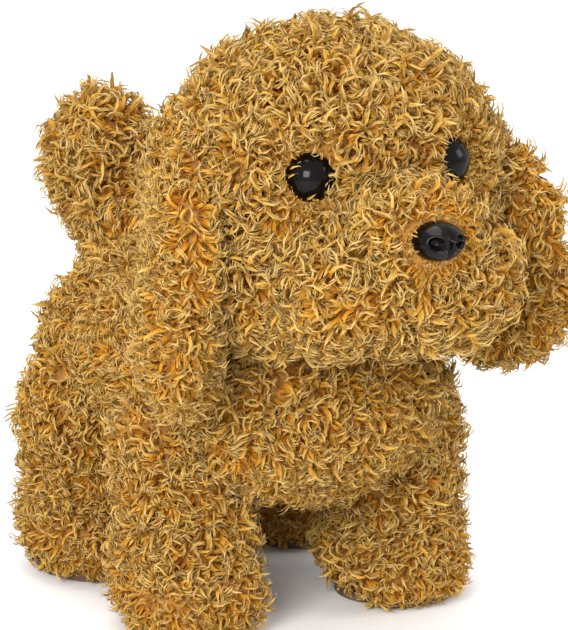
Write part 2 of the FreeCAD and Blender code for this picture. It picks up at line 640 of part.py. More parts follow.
for place_name, hip in HIPS.items():
    both_sides(leg_frame(place_name), f"leg_frame_{place_name}")
    both_sides(leg_boot(place_name), f"leg_boot_{place_name}")
    both_sides(sole_pad(place_name), f"sole_pad_{place_name}")
    shank = rod("x", "shaft_radius", (f"{INSIDE} - 4", f"{LEG_OUTER} + 0.2"), (hip, "hip_height"))
    cap = rod("x", "3", (f"{LEG_OUTER} + 0.2", f"{LEG_OUTER} + 1.6"), (hip, "hip_height"))
    both_sides(join(shank, cap), f"hip_screw_{place_name}")

LINK = "hip_height - link_drop"
bar = box(("rod_inner", "rod_inner + rod_thick"), ("front_hip", "rear_hip"), (f"{LINK} - 2", f"{LINK} + 2"))
ends = [rod("x", "3.2", ("rod_inner", "rod_inner + rod_thick"), (hip, LINK)) for hip in HIPS.values()]
rear_bore = rod("x", "pin_radius + bore_play", ("rod_inner - 1", "rod_inner + 4"), ("rear_hip", LINK))
front_bore = rod("x", "pin_radius + 0.2", ("rod_inner - 1", "rod_inner + 4"), ("front_hip", LINK))
both_sides(trim(join(bar, *ends), rear_bore, front_bore), "link_rod")

# ---- tail ----
tail_shaft = rod("y", "shaft_radius", ("rear_hip - 1.5", "chassis_tail + 6"), ("wobble_place", "tail_pivot"))
collar = rod("y", "3", ("chassis_tail + 0.3", "chassis_tail + 6"), ("wobble_place", "tail_pivot"))
fork_bar = box(("wobble_place - 4.2", "wobble_place + 4.2"), ("rear_hip - 1.2", "rear_hip + 1.2"),
               ("tail_pivot - 2.6", "tail_pivot - 0.6"))
prongs = [box((f"wobble_place + {side} - 0.7", f"wobble_place + {side} + 0.7"),
              ("rear_hip - 0.8", "rear_hip + 0.8"),
              (f"{DRIVE} + wobble_radius - 2.6", "tail_pivot - 1.4")) for side in ("3.0", "(-3.0)")]


def tail_stem(radius, more):
    """A bar from the tail shaft's collar up and back into the plush tail."""
    back = size("tail_place") - 5
    rise = size("tail_low")
    bar = doc.addObject("Part::Cylinder", "Bar")
    bind(bar, "Radius", radius)
    bar.Height = math.hypot(back, rise) + more
    lean = FreeCAD.Rotation(FreeCAD.Vector(-1, 0, 0), math.degrees(math.atan2(back, rise)))
    bar.Placement = FreeCAD.Placement(FreeCAD.Vector(), lean)
    place(bar, "wobble_place", "chassis_tail + 5", "tail_pivot")
    return bar


node(join(tail_shaft, collar, fork_bar, *prongs, tail_stem("shaft_radius + 0.3", 0)), "tail_rocker")

plush_tail = capsule("z", "tail_radius", ("tail_low", "tail_high"), ("wobble_place", "tail_place"))
node(trim(plush_tail, tail_stem("shaft_radius + 0.5", 0.2)), "tail_plush")


# ---- head ----
def head_ball(room):
    """The rounded head, grown or shrunk evenly."""
    return capsule("x", f"head_radius + {room}", ("-head_spread", "head_spread"),
                   ("head_place", "head_height"))


def muzzle_ball(room):
    """The rounded muzzle, grown or shrunk evenly."""
    return capsule("x", f"muzzle_radius + {room}", ("-muzzle_spread", "muzzle_spread"),
                   ("muzzle_place", "muzzle_height"))


def along_eye(solid, offset):
    """Stand a solid drawn along Z on the left eye's axis, some way out from the head side's middle."""
    turn = FreeCAD.Rotation(FreeCAD.Vector(0, 0, 1), size("eye_turn"))
    tip = FreeCAD.Rotation(FreeCAD.Vector(1, 0, 0), 90 - size("eye_lift"))
    facing = turn.multiply(tip)
    out = facing.multVec(FreeCAD.Vector(0, 0, 1))
    solid.Placement = FreeCAD.Placement(FreeCAD.Vector(), facing)
    for letter, origin, step in zip("xyz", ("head_spread", "head_place", "head_height"), out):
        bind(solid, "Placement.Base." + letter, f"{origin} + ({step:.6f}) * ({offset})")
    return solid


def eye_bar(radius, low, high):
    """A cylinder on the left eye's axis."""
    piece = doc.addObject("Part::Cylinder", "Bar")
    bind(piece, "Radius", radius)
    bind(piece, "Height", f"({high}) - ({low})")
    return along_eye(piece, low)


CAVITY = "head_radius - head_wall"
dome = overlap(along_eye(doc.addObject("Part::Sphere", "Ball"), "eye_seat - 0.5"),
               eye_bar("eye_radius + 1", "eye_seat", "eye_seat + 12"))
bind(dome.Base, "Radius", "eye_radius + 0.1")
eye_stem = eye_bar("1.5", f"{CAVITY} - 4", "eye_seat + 1")
both_sides(join(dome, eye_stem), "eye")
washer = trim(eye_bar("6", f"{CAVITY} - 2.4", f"{CAVITY} - 1.2"), eye_bar("1.5", f"{CAVITY} - 5", "eye_seat"))
both_sides(washer, "eye_washer")

NOSE_BACK = "nose_tip + nose_depth"
nose_ball = overlap(ball("nose_half", "0", "nose_tip + nose_half", "nose_height"),
                    box(("-20", "20"), ("nose_tip - 1", NOSE_BACK), ("nose_height - 20", "nose_height + 20")))
nose_rod = rod("y", "2", (f"{NOSE_BACK} - 1", f"{NOSE_BACK} + 10"), ("0", "nose_height"))
node(join(nose_ball, nose_rod), "nose")
nose_ring = trim(rod("y", "6", (f"{NOSE_BACK} + 8", f"{NOSE_BACK} + 9.2"), ("0", "nose_height")),
                 rod("y", "2", (f"{NOSE_BACK} - 1", f"{NOSE_BACK} + 11"), ("0", "nose_height")))
node(nose_ring, "nose_washer")

cheeks = [box((low, high), ("head_place - 14", "head_place + 8"), ("head_height - 6", "head_height + 20"))
          for low, high in (("neck_half + 0.4", "neck_half + 3"), ("-neck_half - 3", "-neck_half - 0.4"))]
bridge = box(("-neck_half - 3", "neck_half + 3"), ("head_place - 14", "head_place + 8"),
             ("head_height + 17", "head_height + 20"))
pin_bore = rod("x", "shaft_radius + bore_play", ("-neck_half - 6", "neck_half + 6"),
               ("head_place", "head_height"))
node(trim(join(*cheeks, bridge), pin_bore), "head_frame")

stuffing = capsule("x", f"{CAVITY} - fit", ("-head_spread", "head_spread"), ("head_place", "head_height"))
frame_room = box(("-neck_half - 3.2", "neck_half + 3.2"), ("head_place - 14.2", "head_place + 8.2"),
                 ("head_height - 10", "head_height + 20.2"))
pin_room = rod("x", "shaft_radius + 1", ("-neck_half - 6", "neck_half + 6"), ("head_place", "head_height"))
neck_room = box(("-neck_half - 3.2", "neck_half + 3.2"), ("head_place - 14.2", "neck_place + 14"),
                ("head_height - 60", "head_height - 2"))
eye_rooms = []
for side in range(2):
    washer_room = eye_bar("6.2", f"{CAVITY} - 4.5", f"{CAVITY} + 1")
    if side:
        flip = doc.addObject("Part::Mirroring", "Mirrored")
        flip.Source = washer_room
        flip.Normal = FreeCAD.Vector(1, 0, 0)
        washer_room = flip
    eye_rooms.append(washer_room)
nose_room = rod("y", "6.2", (f"{NOSE_BACK} + 7.8", f"{NOSE_BACK} + 12"), ("0", "nose_height"))
node(trim(stuffing, frame_room, pin_room, neck_room, *eye_rooms, nose_room), "head_stuffing")

skin = join(head_ball("0"), muzzle_ball("0"))
cavity = capsule("x", CAVITY, ("-head_spread", "head_spread"), ("head_place", "head_height"))
neck_hole = box(("-neck_half - 3.2", "neck_half + 3.2"), ("head_place - 14.2", "neck_place + 14"),
                ("head_height - 60", "head_height - head_radius + 23"))
sockets = []
for side in range(2):
    seat = join(eye_bar("eye_radius + 0.4", "eye_seat - 0.1", "eye_seat + 20"),
                eye_bar("1.7", f"{CAVITY} - 6", "eye_seat + 1"))
    if side:
        flip = doc.addObject("Part::Mirroring", "Mirrored")
        flip.Source = seat
        flip.Normal = FreeCAD.Vector(1, 0, 0)
        seat = flip
    sockets.append(seat)
nose_seat = rod("y", "nose_half + 0.2", ("nose_tip - 5", f"{NOSE_BACK} + 0.1"), ("0", "nose_height"))
nose_hole = rod("y", "2.2", (f"{NOSE_BACK} - 1", f"{NOSE_BACK} + 20"), ("0", "nose_height"))
washer_seat = rod("y", "6.2", (f"{NOSE_BACK} + 7.8", f"{NOSE_BACK} + 20"), ("0", "nose_height"))
node(trim(skin, cavity, neck_hole, *sockets, nose_seat, nose_hole, washer_seat), "head_plush")


# ---- ears: pads that hang from a seam, drawn as a cross pin on two lugs ----
def ear_pad():
    """The left ear pad, hanging straight down outside the head."""
    inner = "ear_pivot_x + ear_offset"
    outer = f"{inner} + ear_thick"
    low = "ear_pivot_z - ear_length + ear_half"
    flap = join(rod("x", "ear_half", (inner, outer), ("ear_place", low)),
                box((inner, outer), ("ear_place - ear_half", "ear_place + ear_half"),
                    (low, "ear_pivot_z - 4")),
                rod("y", "3.4", ("ear_place - 9", "ear_place + 9"), ("ear_pivot_x", "ear_pivot_z")),
                box(("ear_pivot_x", f"{inner} + 3"), ("ear_place - 9", "ear_place + 9"),
                    ("ear_pivot_z - 8", "ear_pivot_z")))
    return trim(flap, rod("y", "1.2 + bore_play", ("ear_place - 20", "ear_place + 20"),
                          ("ear_pivot_x", "ear_pivot_z")))


def ear_pin():
    """The seam's pin with a lug at each end that reaches into the head."""
    pin = rod("y", "1.2", ("ear_place - 12", "ear_place + 12"), ("ear_pivot_x", "ear_pivot_z"))
    lugs = [box(("ear_pivot_x - 9", "ear_pivot_x + 1.5"), (f"ear_place + {near}", f"ear_place + {far}"),
                ("ear_pivot_z - 1.5", "ear_pivot_z + 1.5"))
            for near, far in (("10", "13"), ("(-13)", "(-10)"))]
    return trim(join(pin, *lugs), head_ball("0"))


both_sides(ear_pad(), "ear")
both_sides(ear_pin(), "ear_pin")


# ---- torso ----
def torso_pillow():
    """The plush body: a flat block rounded all round by one radius."""
    spread = "torso_spread"
    ends = ("chest_place", "rump_place")
    pieces = [box((f"-{spread}", spread), ends,
                  ("torso_height - torso_radius", "torso_height + torso_radius"))]
    for side in (f"-{spread}", spread):
        pieces.append(rod("y", "torso_radius", ends, (side, "torso_height")))
    for end in ends:
        pieces.append(capsule("x", "torso_radius", (f"-{spread}", spread), (end, "torso_height")))
    return join(*pieces)


works_room = box(("-chassis_half - fit", "chassis_half + fit"), ("chassis_nose - fit", "chassis_tail + fit"),
                 ("0", "chassis_top + fit"))
side_room = box((f"-({LEG_OUTER}) - 1.2", f"{LEG_OUTER} + 1.2"), ("front_hip - 13", "rear_hip + 13"),
                ("0", f"{DRIVE} + throw + pin_radius + 4.2"))
torso_cuts = [works_room, side_room, head_ball("0.8"), muzzle_ball("6")]
for hip in HIPS.values():
    for low, high in (("leg_inner + 1", "leg_inner + 60"), ("-leg_inner - 60", "-leg_inner - 1")):
        torso_cuts.append(rod("x", "thigh_room", (low, high), (hip, "hip_height")))
        torso_cuts.append(box((low, high), (f"{hip} - thigh_room", f"{hip} + thigh_room"),
                              ("0", "hip_height")))
torso_cuts.append(box(("-neck_half - 1", "neck_half + 1"), ("neck_place - 6", "neck_place + 6"),
                      ("chassis_top - 1", "chassis_top + 30")))
torso_cuts.append(box(("wobble_place - 8", "wobble_place + 8"), ("chassis_tail - 1", "chassis_tail + 40"),
                      ("tail_pivot - 4.5", "tail_pivot + 30")))
node(trim(torso_pillow(), *torso_cuts), "torso_plush")

# ---- build, check and write ----
doc.recompute()
for thing in doc.Objects:
    if "Invalid" in thing.State or "Error" in thing.State:
        raise RuntimeError(f"{thing.Label} did not build: {thing.State}")
for piece in nodes:
    if piece.Shape.isNull() or not piece.Shape.isValid():
        raise RuntimeError(f"{piece.Label} has no valid shape")

os.makedirs("parts", exist_ok=True)
for piece in nodes:
    piece.Shape.exportStep(f"parts/{piece.Label}.step")
    print(piece.Label, len(piece.Shape.Solids), round(piece.Shape.Volume, 1))
print(len(nodes), "nodes")
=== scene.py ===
# %% [markdown]
# # A plush puppy that walks and wags its tail
# The mechanism is modelled elsewhere and arrives here as a fixed frame: shells, gears, legs and pivots.
# This lesson dresses it. The plush is a skin of long curled pile over soft padded shapes, the eyes and
# the nose are polished plastic, and the works underneath get the finishes of moulded plastic and steel.

# %% Load the frame
import json
import math
import bpy
from mathutils import Matrix, Vector, noise

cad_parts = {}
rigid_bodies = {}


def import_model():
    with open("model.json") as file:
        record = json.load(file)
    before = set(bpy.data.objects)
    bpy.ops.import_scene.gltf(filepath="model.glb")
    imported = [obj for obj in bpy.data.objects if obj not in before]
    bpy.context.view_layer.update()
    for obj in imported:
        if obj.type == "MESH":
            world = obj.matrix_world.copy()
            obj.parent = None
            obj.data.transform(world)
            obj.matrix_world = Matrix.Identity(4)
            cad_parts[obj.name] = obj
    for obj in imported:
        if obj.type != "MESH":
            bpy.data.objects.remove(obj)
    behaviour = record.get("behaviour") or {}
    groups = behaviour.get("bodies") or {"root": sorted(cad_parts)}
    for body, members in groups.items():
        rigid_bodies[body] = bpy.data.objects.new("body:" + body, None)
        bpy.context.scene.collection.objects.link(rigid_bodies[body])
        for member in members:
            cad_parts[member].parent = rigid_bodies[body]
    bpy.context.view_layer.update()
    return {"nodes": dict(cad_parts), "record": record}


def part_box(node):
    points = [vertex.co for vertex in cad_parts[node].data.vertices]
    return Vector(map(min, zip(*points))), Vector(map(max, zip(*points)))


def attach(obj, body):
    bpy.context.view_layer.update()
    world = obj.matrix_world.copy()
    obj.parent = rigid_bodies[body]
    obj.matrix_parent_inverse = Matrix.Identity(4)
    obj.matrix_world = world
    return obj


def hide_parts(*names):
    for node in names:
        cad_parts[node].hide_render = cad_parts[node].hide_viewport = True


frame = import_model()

MM = 0.001

# %% [markdown]
# ## Places
# Every place comes from the frame, so the plush follows the mechanism if a size changes there.
# A box gives the lowest and the highest corner of a node.

# %% Boxes of the soft nodes
def middle(node):
    """The middle of a node's box."""
    low, high = (Vector(corner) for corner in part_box(node))
    return (low + high) / 2


# %% [markdown]
# ## Helpers
# An operator acts on whatever is selected, so each step starts by selecting nothing and then
# exactly what it needs.

# %% Selecting, joining and finishing
def pick(*things):
    """Select these objects only, the first one active."""
    bpy.ops.object.select_all(action="DESELECT")
    for thing in things:
        thing.select_set(True)
    bpy.context.view_layer.objects.active = things[0]
    return things[0]


def weld(name, things):
    """Join several objects into one and name it."""
    whole = pick(*things)
    if len(things) > 1:
        bpy.ops.object.join()
    bpy.ops.object.transform_apply(location=True, rotation=True, scale=True)
    whole.name = name
    whole.data.name = name
    return whole


def apply_modifier(thing, kind, **settings):
    """Add a modifier, set it and apply it."""
    pick(thing)
    modifier = thing.modifiers.new(kind.title(), kind)
    for setting, value in settings.items():
        setattr(modifier, setting, value)
    bpy.ops.object.modifier_apply(modifier=modifier.name)


def wear(thing, material):
    """Give an object one material."""
    thing.data.materials.clear()
    thing.data.materials.append(material)


def lump(place, radii, turn=0):
    """A soft ball with its own three radii, turned about the upright."""
    bpy.ops.object.select_all(action="DESELECT")
    bpy.ops.mesh.primitive_uv_sphere_add(segments=32, ring_count=20, radius=1, location=place,
                                         rotation=(0, 0, turn), scale=radii)
    return bpy.context.active_object


def soft_skin(name, lumps, voxel, smoothing):
    """Melt several lumps into one sewn skin."""
    skin = weld(name, lumps)
    apply_modifier(skin, "REMESH", mode="VOXEL", voxel_size=voxel)
    apply_modifier(skin, "SMOOTH", factor=0.5, iterations=smoothing)
    pick(skin)
    bpy.ops.object.shade_smooth()
    print(name, len(skin.data.polygons), "faces")
    return skin


# %% [markdown]
# ## The skins
# Each plush piece is cut from pile fabric and stuffed. Under the pile it is a plain rounded form,
# so a few lumps are melted together with a voxel remesh and smoothed.

# %% Head
HEAD_RADIUS = 43 * MM
EYE_REACH = 39.5
head_high = Vector(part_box("head_plush")[1])
HEAD = Vector((0, head_high.y - HEAD_RADIUS, head_high.z - HEAD_RADIUS))
nose_low, nose_high = (Vector(c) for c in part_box("nose"))
NOSE = Vector((0, nose_low.y - 0.5 * MM, (nose_low.z + nose_high.z) / 2 + 1 * MM))
MUZZLE = HEAD + Vector((0, -34.5, -13)) * MM


def eye_seat(sign):
    """Where an eye sits on the head, and which way it looks."""
    root = Vector((sign * 4.3, 6, 0)) * MM + HEAD
    turn, rise = math.radians(25.5), math.radians(17.5)
    axis = Vector((sign * math.sin(turn) * math.cos(rise), -math.cos(turn) * math.cos(rise), math.sin(rise)))
    return root + axis * EYE_REACH * MM, axis


head_lumps = [
    lump(HEAD + Vector((0, 2, 1)) * MM, Vector((47, 39, 41)) * MM),
    lump(HEAD + Vector((0, 0, 14)) * MM, Vector((40, 36, 27)) * MM),
    lump(MUZZLE + Vector((0, 0, -3)) * MM, Vector((28, 20.5, 17)) * MM),
    lump(MUZZLE + Vector((0, -2, 5)) * MM, Vector((15, 18, 12)) * MM),
    lump(MUZZLE + Vector((15, -1, -5)) * MM, Vector((16, 19, 15)) * MM),
    lump(MUZZLE + Vector((-15, -1, -5)) * MM, Vector((16, 19, 15)) * MM),
    lump(HEAD + Vector((26, -10, -15)) * MM, Vector((18, 20, 21)) * MM),
    lump(HEAD + Vector((-26, -10, -15)) * MM, Vector((18, 20, 21)) * MM),
]
for sign in (1, -1):
    seat, axis = eye_seat(sign)
    head_lumps.append(lump(seat - axis * 9.5 * MM, Vector((10, 10, 10)) * MM))
head_lumps.append(lump(NOSE + Vector((0, 13, -2)) * MM, Vector((16, 14, 12)) * MM))
head_skin = soft_skin("head_skin", head_lumps, 1.8 * MM, 5)

# %% Torso
TORSO_RADIUS = 28 * MM
torso_low, torso_high = (Vector(c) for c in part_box("torso_plush"))
TORSO_Z = torso_high.z - TORSO_RADIUS
CHEST = Vector((0, torso_low.y + TORSO_RADIUS, TORSO_Z))
RUMP = Vector((0, torso_high.y - TORSO_RADIUS, TORSO_Z))
torso_lumps = [
    lump(CHEST, Vector((40, 29, 29)) * MM),
    lump((CHEST + RUMP) / 2, Vector((38, 50, 28)) * MM),
    lump(CHEST.lerp(RUMP, 0.3), Vector((39, 34, 28)) * MM),
    lump(CHEST.lerp(RUMP, 0.7), Vector((40, 34, 28)) * MM),
    lump(RUMP + Vector((0, 0, -1)) * MM, Vector((41, 29, 29)) * MM),
]
torso_skin = soft_skin("torso_skin", torso_lumps, 2 * MM, 8)

# %% [markdown]
# The belly stays open: the chassis shows there with its battery door, so the skin is cut away
# below a level plane inside the legs.

# %% Open the belly
chassis_low = Vector(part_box("chassis_right")[0])
BELLY_Y = (CHEST.y + RUMP.y) / 2 + 2 * MM
bpy.ops.object.select_all(action="DESELECT")
bpy.ops.mesh.primitive_cube_add(size=1)
belly_cutter = bpy.context.active_object
belly_cutter.scale = (50 * MM, 90 * MM, 60 * MM)
belly_cutter.location = (0, BELLY_Y, chassis_low.z)
pick(belly_cutter)
bpy.ops.object.transform_apply(location=True, rotation=True, scale=True)
apply_modifier(torso_skin, "BOOLEAN", object=belly_cutter, operation="DIFFERENCE", solver="EXACT")
bpy.data.objects.remove(belly_cutter)
print("torso_skin", len(torso_skin.data.polygons), "faces with the belly open")

# %% Legs, ears and tail
leg_skins = {}
for end in ("front", "rear"):
    for side, sign in (("left", 1), ("right", -1)):
        boot_low, boot_high = (Vector(c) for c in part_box(f"leg_boot_{end}_{side}"))
        foot = Vector(((boot_low.x + boot_high.x) / 2, boot_high.y - 17 * MM, 0))
        lumps = [
            lump(foot + Vector((sign * 1.5, 0, 46)) * MM, Vector((15.5, 17.5, 22)) * MM),
            lump(foot + Vector((0, 0, 28)) * MM, Vector((16.5, 17.5, 22)) * MM),
            lump(foot + Vector((0, 0, 13)) * MM, Vector((19, 19.5, 13)) * MM),
            lump(foot + Vector((0, -9, 11.5)) * MM, Vector((17, 14, 11)) * MM),
        ]
        leg_skins[end, side] = soft_skin(f"leg_skin_{end}_{side}", lumps, 1.8 * MM, 6)

ear_skins = {}
for side, sign in (("left", 1), ("right", -1)):
    ear_low, ear_high = (Vector(c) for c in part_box(f"ear_{side}"))
    spot = Vector(((sign * 50 - 0.5) * MM, (ear_low.y + ear_high.y) / 2 - 4 * MM, 0))
    turn = sign * math.radians(28)
    lumps = [
        lump(spot + Vector((sign * 0.5, -1.5, 97)) * MM, Vector((8.5, 21.5, 21)) * MM, turn=turn),
        lump(spot + Vector((sign * -3, -1, 114)) * MM, Vector((8.5, 20, 24)) * MM, turn=turn),
        lump(spot + Vector((sign * -10, 5, 133)) * MM, Vector((9, 14, 13)) * MM, turn=turn),
    ]
    ear_skins[side] = soft_skin(f"ear_skin_{side}", lumps, 1.6 * MM, 5)

tail_mid = middle("tail_plush")
tail_skin = soft_skin("tail_skin", [
    lump(tail_mid + Vector((0, 0, 1)) * MM, Vector((12.5, 12.5, 17)) * MM),
    lump(tail_mid + Vector((0, -10, -14)) * MM, Vector((8, 9, 10)) * MM),
    lump(tail_mid + Vector((0, -20, -22)) * MM, Vector((9, 10, 8)) * MM),
], 1.6 * MM, 5)

# %% [markdown]
# ## Eyes and nose
# Safety eyes are polished domes with a flat back. The nose is one polished piece with two
# nostrils and a groove down its front.

# %% Finishes for polished plastic
def new_material(name, colour=(0.5, 0.5, 0.5), roughness=0.5, **sockets):
    """A material with its shader ready to be given colour and relief."""
    material = bpy.data.materials.new(name)
    material.use_nodes = True
    shader = material.node_tree.nodes["Principled BSDF"]
    shader.inputs["Base Color"].default_value = (*colour, 1)
    shader.inputs["Roughness"].default_value = roughness
    for socket, value in sockets.items():
        shader.inputs[socket.replace("_", " ")].default_value = value
    return material, material.node_tree, shader


def add(tree, kind, **inputs):
    """Add a node and set its inputs by name."""
    made = tree.nodes.new(kind)
    for name, value in inputs.items():
        made.inputs[name.replace("_", " ")].default_value = value
    return made


def black_gloss():
    """Injection-moulded black plastic, polished, with a faint warm mottle and handling haze."""
    material, tree, shader = new_material("black_gloss", (0.006, 0.005, 0.005), 0.16, Specular_IOR_Level=0.14)
    place = add(tree, "ShaderNodeTexCoord")
    mottle = add(tree, "ShaderNodeTexNoise", Scale=260.0, Detail=3.0)
    tree.links.new(place.outputs["Object"], mottle.inputs["Vector"])
    ramp = tree.nodes.new("ShaderNodeMapRange")
    ramp.inputs["To Min"].default_value = 0.10
    ramp.inputs["To Max"].default_value = 0.17
    tree.links.new(mottle.outputs["Fac"], ramp.inputs["Value"])
    tree.links.new(ramp.outputs["Result"], shader.inputs["Roughness"])
    tint = tree.nodes.new("ShaderNodeValToRGB")
    tint.color_ramp.elements[0].color = (0.002, 0.0015, 0.0015, 1)
    tint.color_ramp.elements[1].color = (0.006, 0.004, 0.003, 1)
    tree.links.new(mottle.outputs["Fac"], tint.inputs["Fac"])
    tree.links.new(tint.outputs["Color"], shader.inputs["Base Color"])
    return material


polish = black_gloss()

# %% Eyes
EYE_RADIUS = 7.3 * MM
eye_frames = {}


def make_eye(side):
    """A polished dome on its seat, looking the way the seat faces."""
    sign = 1 if side == "left" else -1
    seat, axis = eye_seat(sign)
    bpy.ops.object.select_all(action="DESELECT")
    bpy.ops.mesh.primitive_uv_sphere_add(segments=48, ring_count=32, radius=EYE_RADIUS, location=(0, 0, 0))
    eye = bpy.context.active_object
    bpy.ops.object.mode_set(mode="EDIT")
    bpy.ops.mesh.select_all(action="SELECT")
    bpy.ops.mesh.bisect(plane_co=(0, 0, 0), plane_no=(0, 0, 1), use_fill=True, clear_inner=True)
    bpy.ops.mesh.select_all(action="SELECT")
    bpy.ops.mesh.normals_make_consistent(inside=False)
    bpy.ops.object.mode_set(mode="OBJECT")
    eye.rotation_euler = axis.to_track_quat("Z", "Y").to_euler()
    eye.location = seat
    weld(f"eye_dome_{side}", [eye])
    bpy.ops.object.shade_smooth_by_angle(angle=math.radians(40))
    wear(eye, polish)
    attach(eye, "head")
    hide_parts(f"eye_{side}")
    eye_frames[side] = (seat, axis)


for side in ("left", "right"):
    make_eye(side)
for side, (seat, axis) in eye_frames.items():
    surface = head_skin.closest_point_on_mesh(seat)[1]
    sunk = (surface - seat).length if (surface - seat).dot(axis) > 0 else 0
    print("eye", side, "at", tuple(round(c / MM) for c in seat), "sunk", round(sunk / MM, 1), "mm")

# %% Nose
NOSE_HALF = (7.3, 5.4, 7.7)
DENT_REACH = 5.4


def make_nose():
    """An egg lying front to back, with two nostrils and a groove.

    It is scaled before it is turned, so its three halves run across, up, and front to back.
    """
    bpy.ops.object.select_all(action="DESELECT")
    bpy.ops.mesh.primitive_uv_sphere_add(segments=64, ring_count=40, radius=1, location=NOSE,
                                         rotation=(math.radians(90), 0, 0),
                                         scale=[size * MM for size in NOSE_HALF])
    nose = weld("nose_cap", [bpy.context.active_object])
    for vertex in nose.data.vertices:
        away = (vertex.co - NOSE) / MM
        front = max(0, -away.y / DENT_REACH)
        dent = 0
        for sign in (1, -1):
            spot = math.hypot((away.x - sign * 3.4) / 1.7, (away.z - 0.8) / 1.5)
            dent += 2.0 * math.exp(-spot ** 4) - 0.45 * math.exp(-((spot - 1.45) / 0.3) ** 2)
        groove = 0.8 * math.exp(-(away.x / 0.6) ** 2) * (1 if away.z < 1 else 0.3)
        taper = 1 + 0.05 * away.z / 7
        vertex.co.x = NOSE.x + away.x * taper * MM
        vertex.co.y += front * (dent + groove) * MM
    apply_modifier(nose, "SUBSURF", levels=1, render_levels=1)
    bpy.ops.object.shade_smooth()
    wear(nose, polish)
    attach(nose, "head")
    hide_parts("nose")
    print("nose at", tuple(round(c / MM) for c in NOSE))


make_nose()

# %% [markdown]
# ## The pile
# The plush is knitted with long loose curls. Each curl is a wisp of a few flat hairs that leave one
# root and hook the same way. Eight wisps are enough: planted over the skin, turned and scaled at
# random, they read as a coat. A hair is a strip of five faces on a bent path, narrow at the root,
# pointed at the tip. Its small map holds its tint across and root to tip along.

# %% One hair and one wisp
HAIR_STEPS = 5
HAIR_HALF_WIDTH = 0.040
TINT_COLUMNS = 16


def bend_path(turns, lean, squeeze):
    """Points and headings along a bent line one unit long."""
    heading = Vector((lean, 0, 1)).normalized()
    point = Vector((0, 0, 0))
    stations = [(point.copy(), heading.copy())]
    for swing, twist in turns:
        heading.rotate(Matrix.Rotation(swing * squeeze, 3, "Y"))
        heading.rotate(Matrix.Rotation(twist * squeeze, 3, "Z"))
        point = point + heading / HAIR_STEPS
        stations.append((point.copy(), heading.copy()))
    return stations


def grow_hair(stations, root, reach, width, facing, tint):
    """Lay a strip along the path, from its root to a pointed tip."""
    bpy.ops.object.select_all(action="DESELECT")
    bpy.ops.mesh.primitive_grid_add(x_subdivisions=1, y_subdivisions=HAIR_STEPS, size=1)
    hair = bpy.context.active_object
    hair_map = hair.data.uv_layers.active or hair.data.uv_layers.new()
    hair_map.name = "OFBake"
    rows = {v.index: (round((v.co.y + 0.5) * HAIR_STEPS), 1 if v.co.x > 0 else -1)
            for v in hair.data.vertices}
    for loop in hair.data.loops:
        row, side = rows[loop.vertex_index]
        column = 0.02 + tint / TINT_COLUMNS + 0.02 * (side > 0)
        hair_map.data[loop.index].uv = (column, 0.02 + 0.96 * row / HAIR_STEPS)
    for vertex in hair.data.vertices:
        row, side = rows[vertex.index]
        point, heading = stations[row]
        across = heading.orthogonal().normalized()
        across.rotate(Matrix.Rotation(facing + 0.25 * row, 3, heading))
        share = (0.8, 1.0, 1.0, 0.85, 0.55, 0.06)[row]
        vertex.co = root * (1 - 0.6 * row / HAIR_STEPS) + point * reach + across * side * width * share
    return hair


def grow_wisp(name, turns, lean, spread):
    """Four hairs that share a root and hook together."""
    hairs = []
    for number in range(4):
        angle = 2.4 * number + 0.4
        root = Vector((math.cos(angle), math.sin(angle), 0)) * spread * (0.5 + 0.25 * number)
        stations = bend_path(turns, lean + 0.05 * (number - 1.5), (1.3, 1.15, 1.42, 1.22)[number])
        hairs.append(grow_hair(stations, root, (1.0, 0.86, 0.93, 0.78)[number], HAIR_HALF_WIDTH,
                               number * math.pi / 4, number))
    wisp = weld(name, hairs)
    bpy.ops.object.shade_smooth()
    return wisp


curl_box = bpy.data.collections.new("wisps")
bpy.context.scene.collection.children.link(curl_box)
WISP_TURNS = [
    ([(0.30, 0.3), (0.45, 0.4), (0.55, 0.5), (0.6, 0.6), (0.6, 0.4)], -0.5),
    ([(0.20, -0.2), (0.35, -0.3), (0.45, -0.5), (0.7, -0.6), (0.8, -0.4)], -0.4),
    ([(0.45, 0.1), (0.50, 0.0), (-0.35, 0.3), (-0.6, 0.2), (-0.5, 0.2)], -0.5),
    ([(-0.3, 0.4), (-0.40, 0.5), (0.45, 0.4), (0.7, 0.2), (0.6, 0.1)], 0.4),
    ([(0.35, 0.2), (0.50, 0.3), (0.60, 0.3), (0.6, 0.4), (0.5, 0.4)], -0.7),
    ([(0.60, 0.0), (0.50, -0.2), (0.40, -0.2), (0.4, -0.3), (0.3, -0.2)], -0.9),
    ([(0.20, 0.2), (0.25, 0.1), (0.35, 0.3), (0.5, 0.3), (0.8, 0.5)], -0.3),
    ([(-0.4, -0.3), (-0.45, -0.4), (-0.5, -0.4), (-0.6, -0.3), (-0.5, -0.3)], 0.5),
]
for number, (turns, lean) in enumerate(WISP_TURNS):
    wisp = grow_wisp(f"wisp_{number}", turns, lean, 0.045)
    for holder in list(wisp.users_collection):
        holder.objects.unlink(wisp)
    curl_box.objects.link(wisp)
FACES_EACH = len(wisp.data.polygons)
